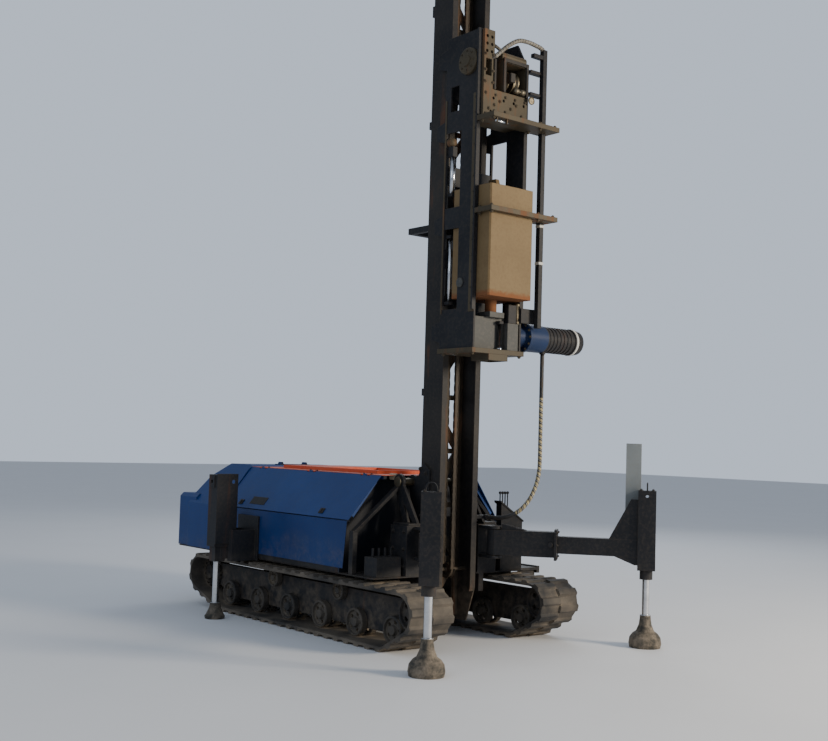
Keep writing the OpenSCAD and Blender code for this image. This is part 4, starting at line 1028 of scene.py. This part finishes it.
# lifting loop on each front jack's head: across the arm and up
loopSet = {
    "radius": 0.007,
    "sides": 10,
    "steps": 3,
    "bow": [
        (-0.045, 1.452), (-0.045, 1.490), (-0.030, 1.520), (0.0, 1.531),
        (0.030, 1.520), (0.045, 1.490), (0.045, 1.452),
    ],
}


def loopJacks(values):
    for side, body in ((1, "beam_left"), (-1, "beam_right")):
        bow = [armPoint(side, armSet["length"], across, height) for across, height in values["bow"]]
        mesh = tubeMesh(smoothed(bow, values["steps"]), values["radius"], values["sides"])
        settled(body + "_loop", mesh, "blackPaint", body)


def collarBolts(side):
    # on the face of an arm's collar, round the beam
    ends = (armPoint(side, 1.0, 0.0, 0.0), armPoint(side, 0.0, 0.0, 0.0))
    outward = tuple(a - b for a, b in zip(*ends))
    spots = [(v, z) for v in (-0.086, 0.086) for z in (0.80, 0.915, 1.03)]
    return [(armPoint(side, armSet["collar"], v, z), outward) for v, z in spots]


def jackBolts(side):
    spots = [(u, v) for u in (-0.056, 0.056) for v in (-0.056, 0.056)]
    return [(armPoint(side, armSet["length"] + u, v, armSet["jackTop"]), (0, 0, 1)) for u, v in spots]


def roundBolts(x, y, z, radius, count):
    # a ring of bolts that face the machine's right
    turns = (math.tau * k / count for k in range(count))
    return [(at(x + radius * math.cos(q), y, z + radius * math.sin(q)), (0, -1, 0)) for q in turns]


def facing(way, *spots):
    return [(at(*spot), way) for spot in spots]


ahead, above, below = (1, 0, 0), (0, 0, 1), (0, 0, -1)
plateEdges = [(x, z) for z in (3.965, 4.825) for x in (1.84, 2.00)]  # the middle and upper flange plates

# a bolt's body, the radius and height of its head, and where each one is and faces
boltSets = {
    "bolts_strip": ("carriage", 0.011, 0.009, [
        (at(1.760, side * 0.306, 3.14 + k * 0.148), (0, side, 0)) for side in (-1, 1) for k in range(14)
    ]),
    "bolts_plates": (
        "carriage", 0.015, 0.013,
        facing(below, *((x, y, z) for x, z in plateEdges for y in (-0.296, 0.296)))
        + facing(above, *((x, y, z + 0.045) for x, z in plateEdges for y in (-0.296, 0.296, 0.49)))
        + facing(below, *((x, y, 2.685) for x in (1.38, 1.56, 1.79) for y in (-0.296, 0.296))),
    ),
    "bolts_head": (
        "carriage", 0.012, 0.010,
        facing(ahead, *((1.830, y, z) for z in (4.900, 5.095) for y in (-0.25, -0.125, 0.0, 0.125, 0.25)))
        + facing(ahead, *((1.830, y, z) for y in (-0.262, -0.168) for z in (5.20, 5.31, 5.46))),
    ),
    "bolts_face": (
        "carriage", 0.013, 0.009,
        facing(ahead, *((1.830, -0.21 + 0.07 * k, 4.955 + 0.045 * (k % 3)) for k in range(7))),
    ),
    "bolts_gear": ("carriage", 0.010, 0.009, roundBolts(1.700, 0.400, 2.880, 0.129, 12)),
    "bolts_lift": ("carriage", 0.008, 0.007, roundBolts(1.655, -0.3428, 5.413, 0.092, 8)),
    "bolts_bracket": ("mast", 0.014, 0.012, [
        (at(x, side * 0.2643, z), (0, side, 0)) for side in (-1, 1)
        for x, z in ((1.075, 0.98), (1.075, 1.16), (1.14, 1.40), (1.14, 1.56), (1.06, 1.60))
    ]),
    "bolts_cheek": ("chassis", 0.015, 0.012, [
        (at(x, side * 0.565, z), (0, side, 0)) for side in (-1, 1)
        for x in (1.05, 1.21) for z in (0.70, 0.86, 1.02)
    ]),
    "bolts_arm_left": ("arm_left", 0.010, 0.009, collarBolts(1)),
    "bolts_arm_right": ("arm_right", 0.010, 0.009, collarBolts(-1)),
    "bolts_jack_left": ("beam_left", 0.011, 0.009, jackBolts(1)),
    "bolts_jack_right": ("beam_right", 0.011, 0.009, jackBolts(-1)),
    "bolts_roof": (
        "chassis", 0.009, 0.007,
        facing(above, *(
            (x + t, side * 0.572, 1.530) for side in (-1, 1)
            for x in (-1.210, -0.2875, 0.635) for t in (-0.06, 0.06)
        )),
    ),
}

chainSet = {
    "middle": 1.180,
    "low": 0.650,
    "high": 6.630,
    "radius": 0.068,
    "turnStep": 12,  # degrees between the points of a half turn
    "links": {"Pitch": 0.0889, "Plate height": 0.030, "Plate thickness": 0.005, "Inner width": 0.037},
}


def growBolts():
    for seed, (name, (body, radius, height, spots)) in enumerate(boltSets.items()):
        finish = "plateSteel" if body == "carriage" else "blackPaint"
        chosen = {"Radius": radius, "Height": height, "Seed": seed}
        grown(name, pointMesh(spots), "bolts", chosen, finish, body)


def growChain(values):
    radius = values["radius"]
    turns = [math.radians(a) for a in range(0, 181, values["turnStep"])]
    high = [(math.cos(a), math.sin(a), values["high"]) for a in turns]
    low = [(-math.cos(a), -math.sin(a), values["low"]) for a in turns]
    loop = [at(values["middle"] + x * radius, 0.0, z + y * radius) for x, y, z in high + low]
    grown("chain_links", ringMesh(loop), "links", values["links"], "laceSteel", "mast")


loopJacks(loopSet)
growBolts()
growChain(chainSet)


print("rig: floor and light")

# pale floor and soft light, the key from ahead of the machine as in the photograph
stageSet = {
    "floorHalf": 60.0,
    "floorTone": (0.74, 0.75, 0.77),
    "floorShade": 0.94,
    "floorScale": 0.7,
    "floorRough": 0.85,
    "skyTone": (0.60, 0.68, 0.80),
    "skyPower": 0.62,
    "backdrop": 0.38,  # added where the camera sees the sky
    "lamps": [
        {
            "place": (12.5, 6.0, 5.2), "aim": (1.2, 0.0, 2.6),
            "side": 3.0, "watts": 1900.0, "tone": (1.0, 0.88, 0.70),
        },
        {
            "place": (4.0, -14.0, 8.0), "aim": (0.4, 0.0, 1.6),
            "side": 8.0, "watts": 300.0, "tone": (0.84, 0.92, 1.0),
        },
        {
            "place": (-8.0, 10.0, 9.0), "aim": (0.0, 0.0, 2.0),
            "side": 6.0, "watts": 420.0, "tone": (0.9, 0.95, 1.0),
        },
    ],
}


def layFloor(values):
    half, tone = values["floorHalf"], values["floorTone"]
    mesh = bpy.data.meshes.new("floor")
    corners = [(-half, -half, 0), (half, -half, 0), (half, half, 0), (-half, half, 0)]
    mesh.from_pydata(corners, [], [(0, 1, 2, 3)])
    floor = bpy.data.objects.new("floor", mesh)
    bpy.context.scene.collection.objects.link(floor)
    f = Finish("floorPaint")
    shaded = tuple(c * values["floorShade"] for c in tone)
    colour = f.mix(f.noise(values["floorScale"], 3.0), tone, shaded)
    f.set(Base_Color=colour, Roughness=values["floorRough"])
    mesh.materials.append(f.material)


def lightSky(values):
    world = bpy.data.worlds.new("studio")
    world.use_nodes = True
    sky = Tree(world.node_tree)
    background = world.node_tree.nodes["Background"].inputs
    sky.feed(background["Color"], values["skyTone"])
    seen = sky.node("ShaderNodeLightPath", take="Is Camera Ray")
    sky.feed(background["Strength"], seen * values["backdrop"] + values["skyPower"])
    bpy.context.scene.world = world


def hangLamps(values):
    for k, lamp in enumerate(values["lamps"]):
        light = bpy.data.lights.new(f"lamp{k}", "AREA")
        light.size, light.energy, light.color = lamp["side"], lamp["watts"], lamp["tone"]
        made = bpy.data.objects.new(f"lamp{k}", light)
        made.location = lamp["place"]
        ray = Vector(lamp["aim"]) - Vector(lamp["place"])
        made.rotation_euler = ray.to_track_quat("-Z", "Y").to_euler()
        bpy.context.scene.collection.objects.link(made)


layFloor(stageSet)
lightSky(stageSet)
hangLamps(stageSet)
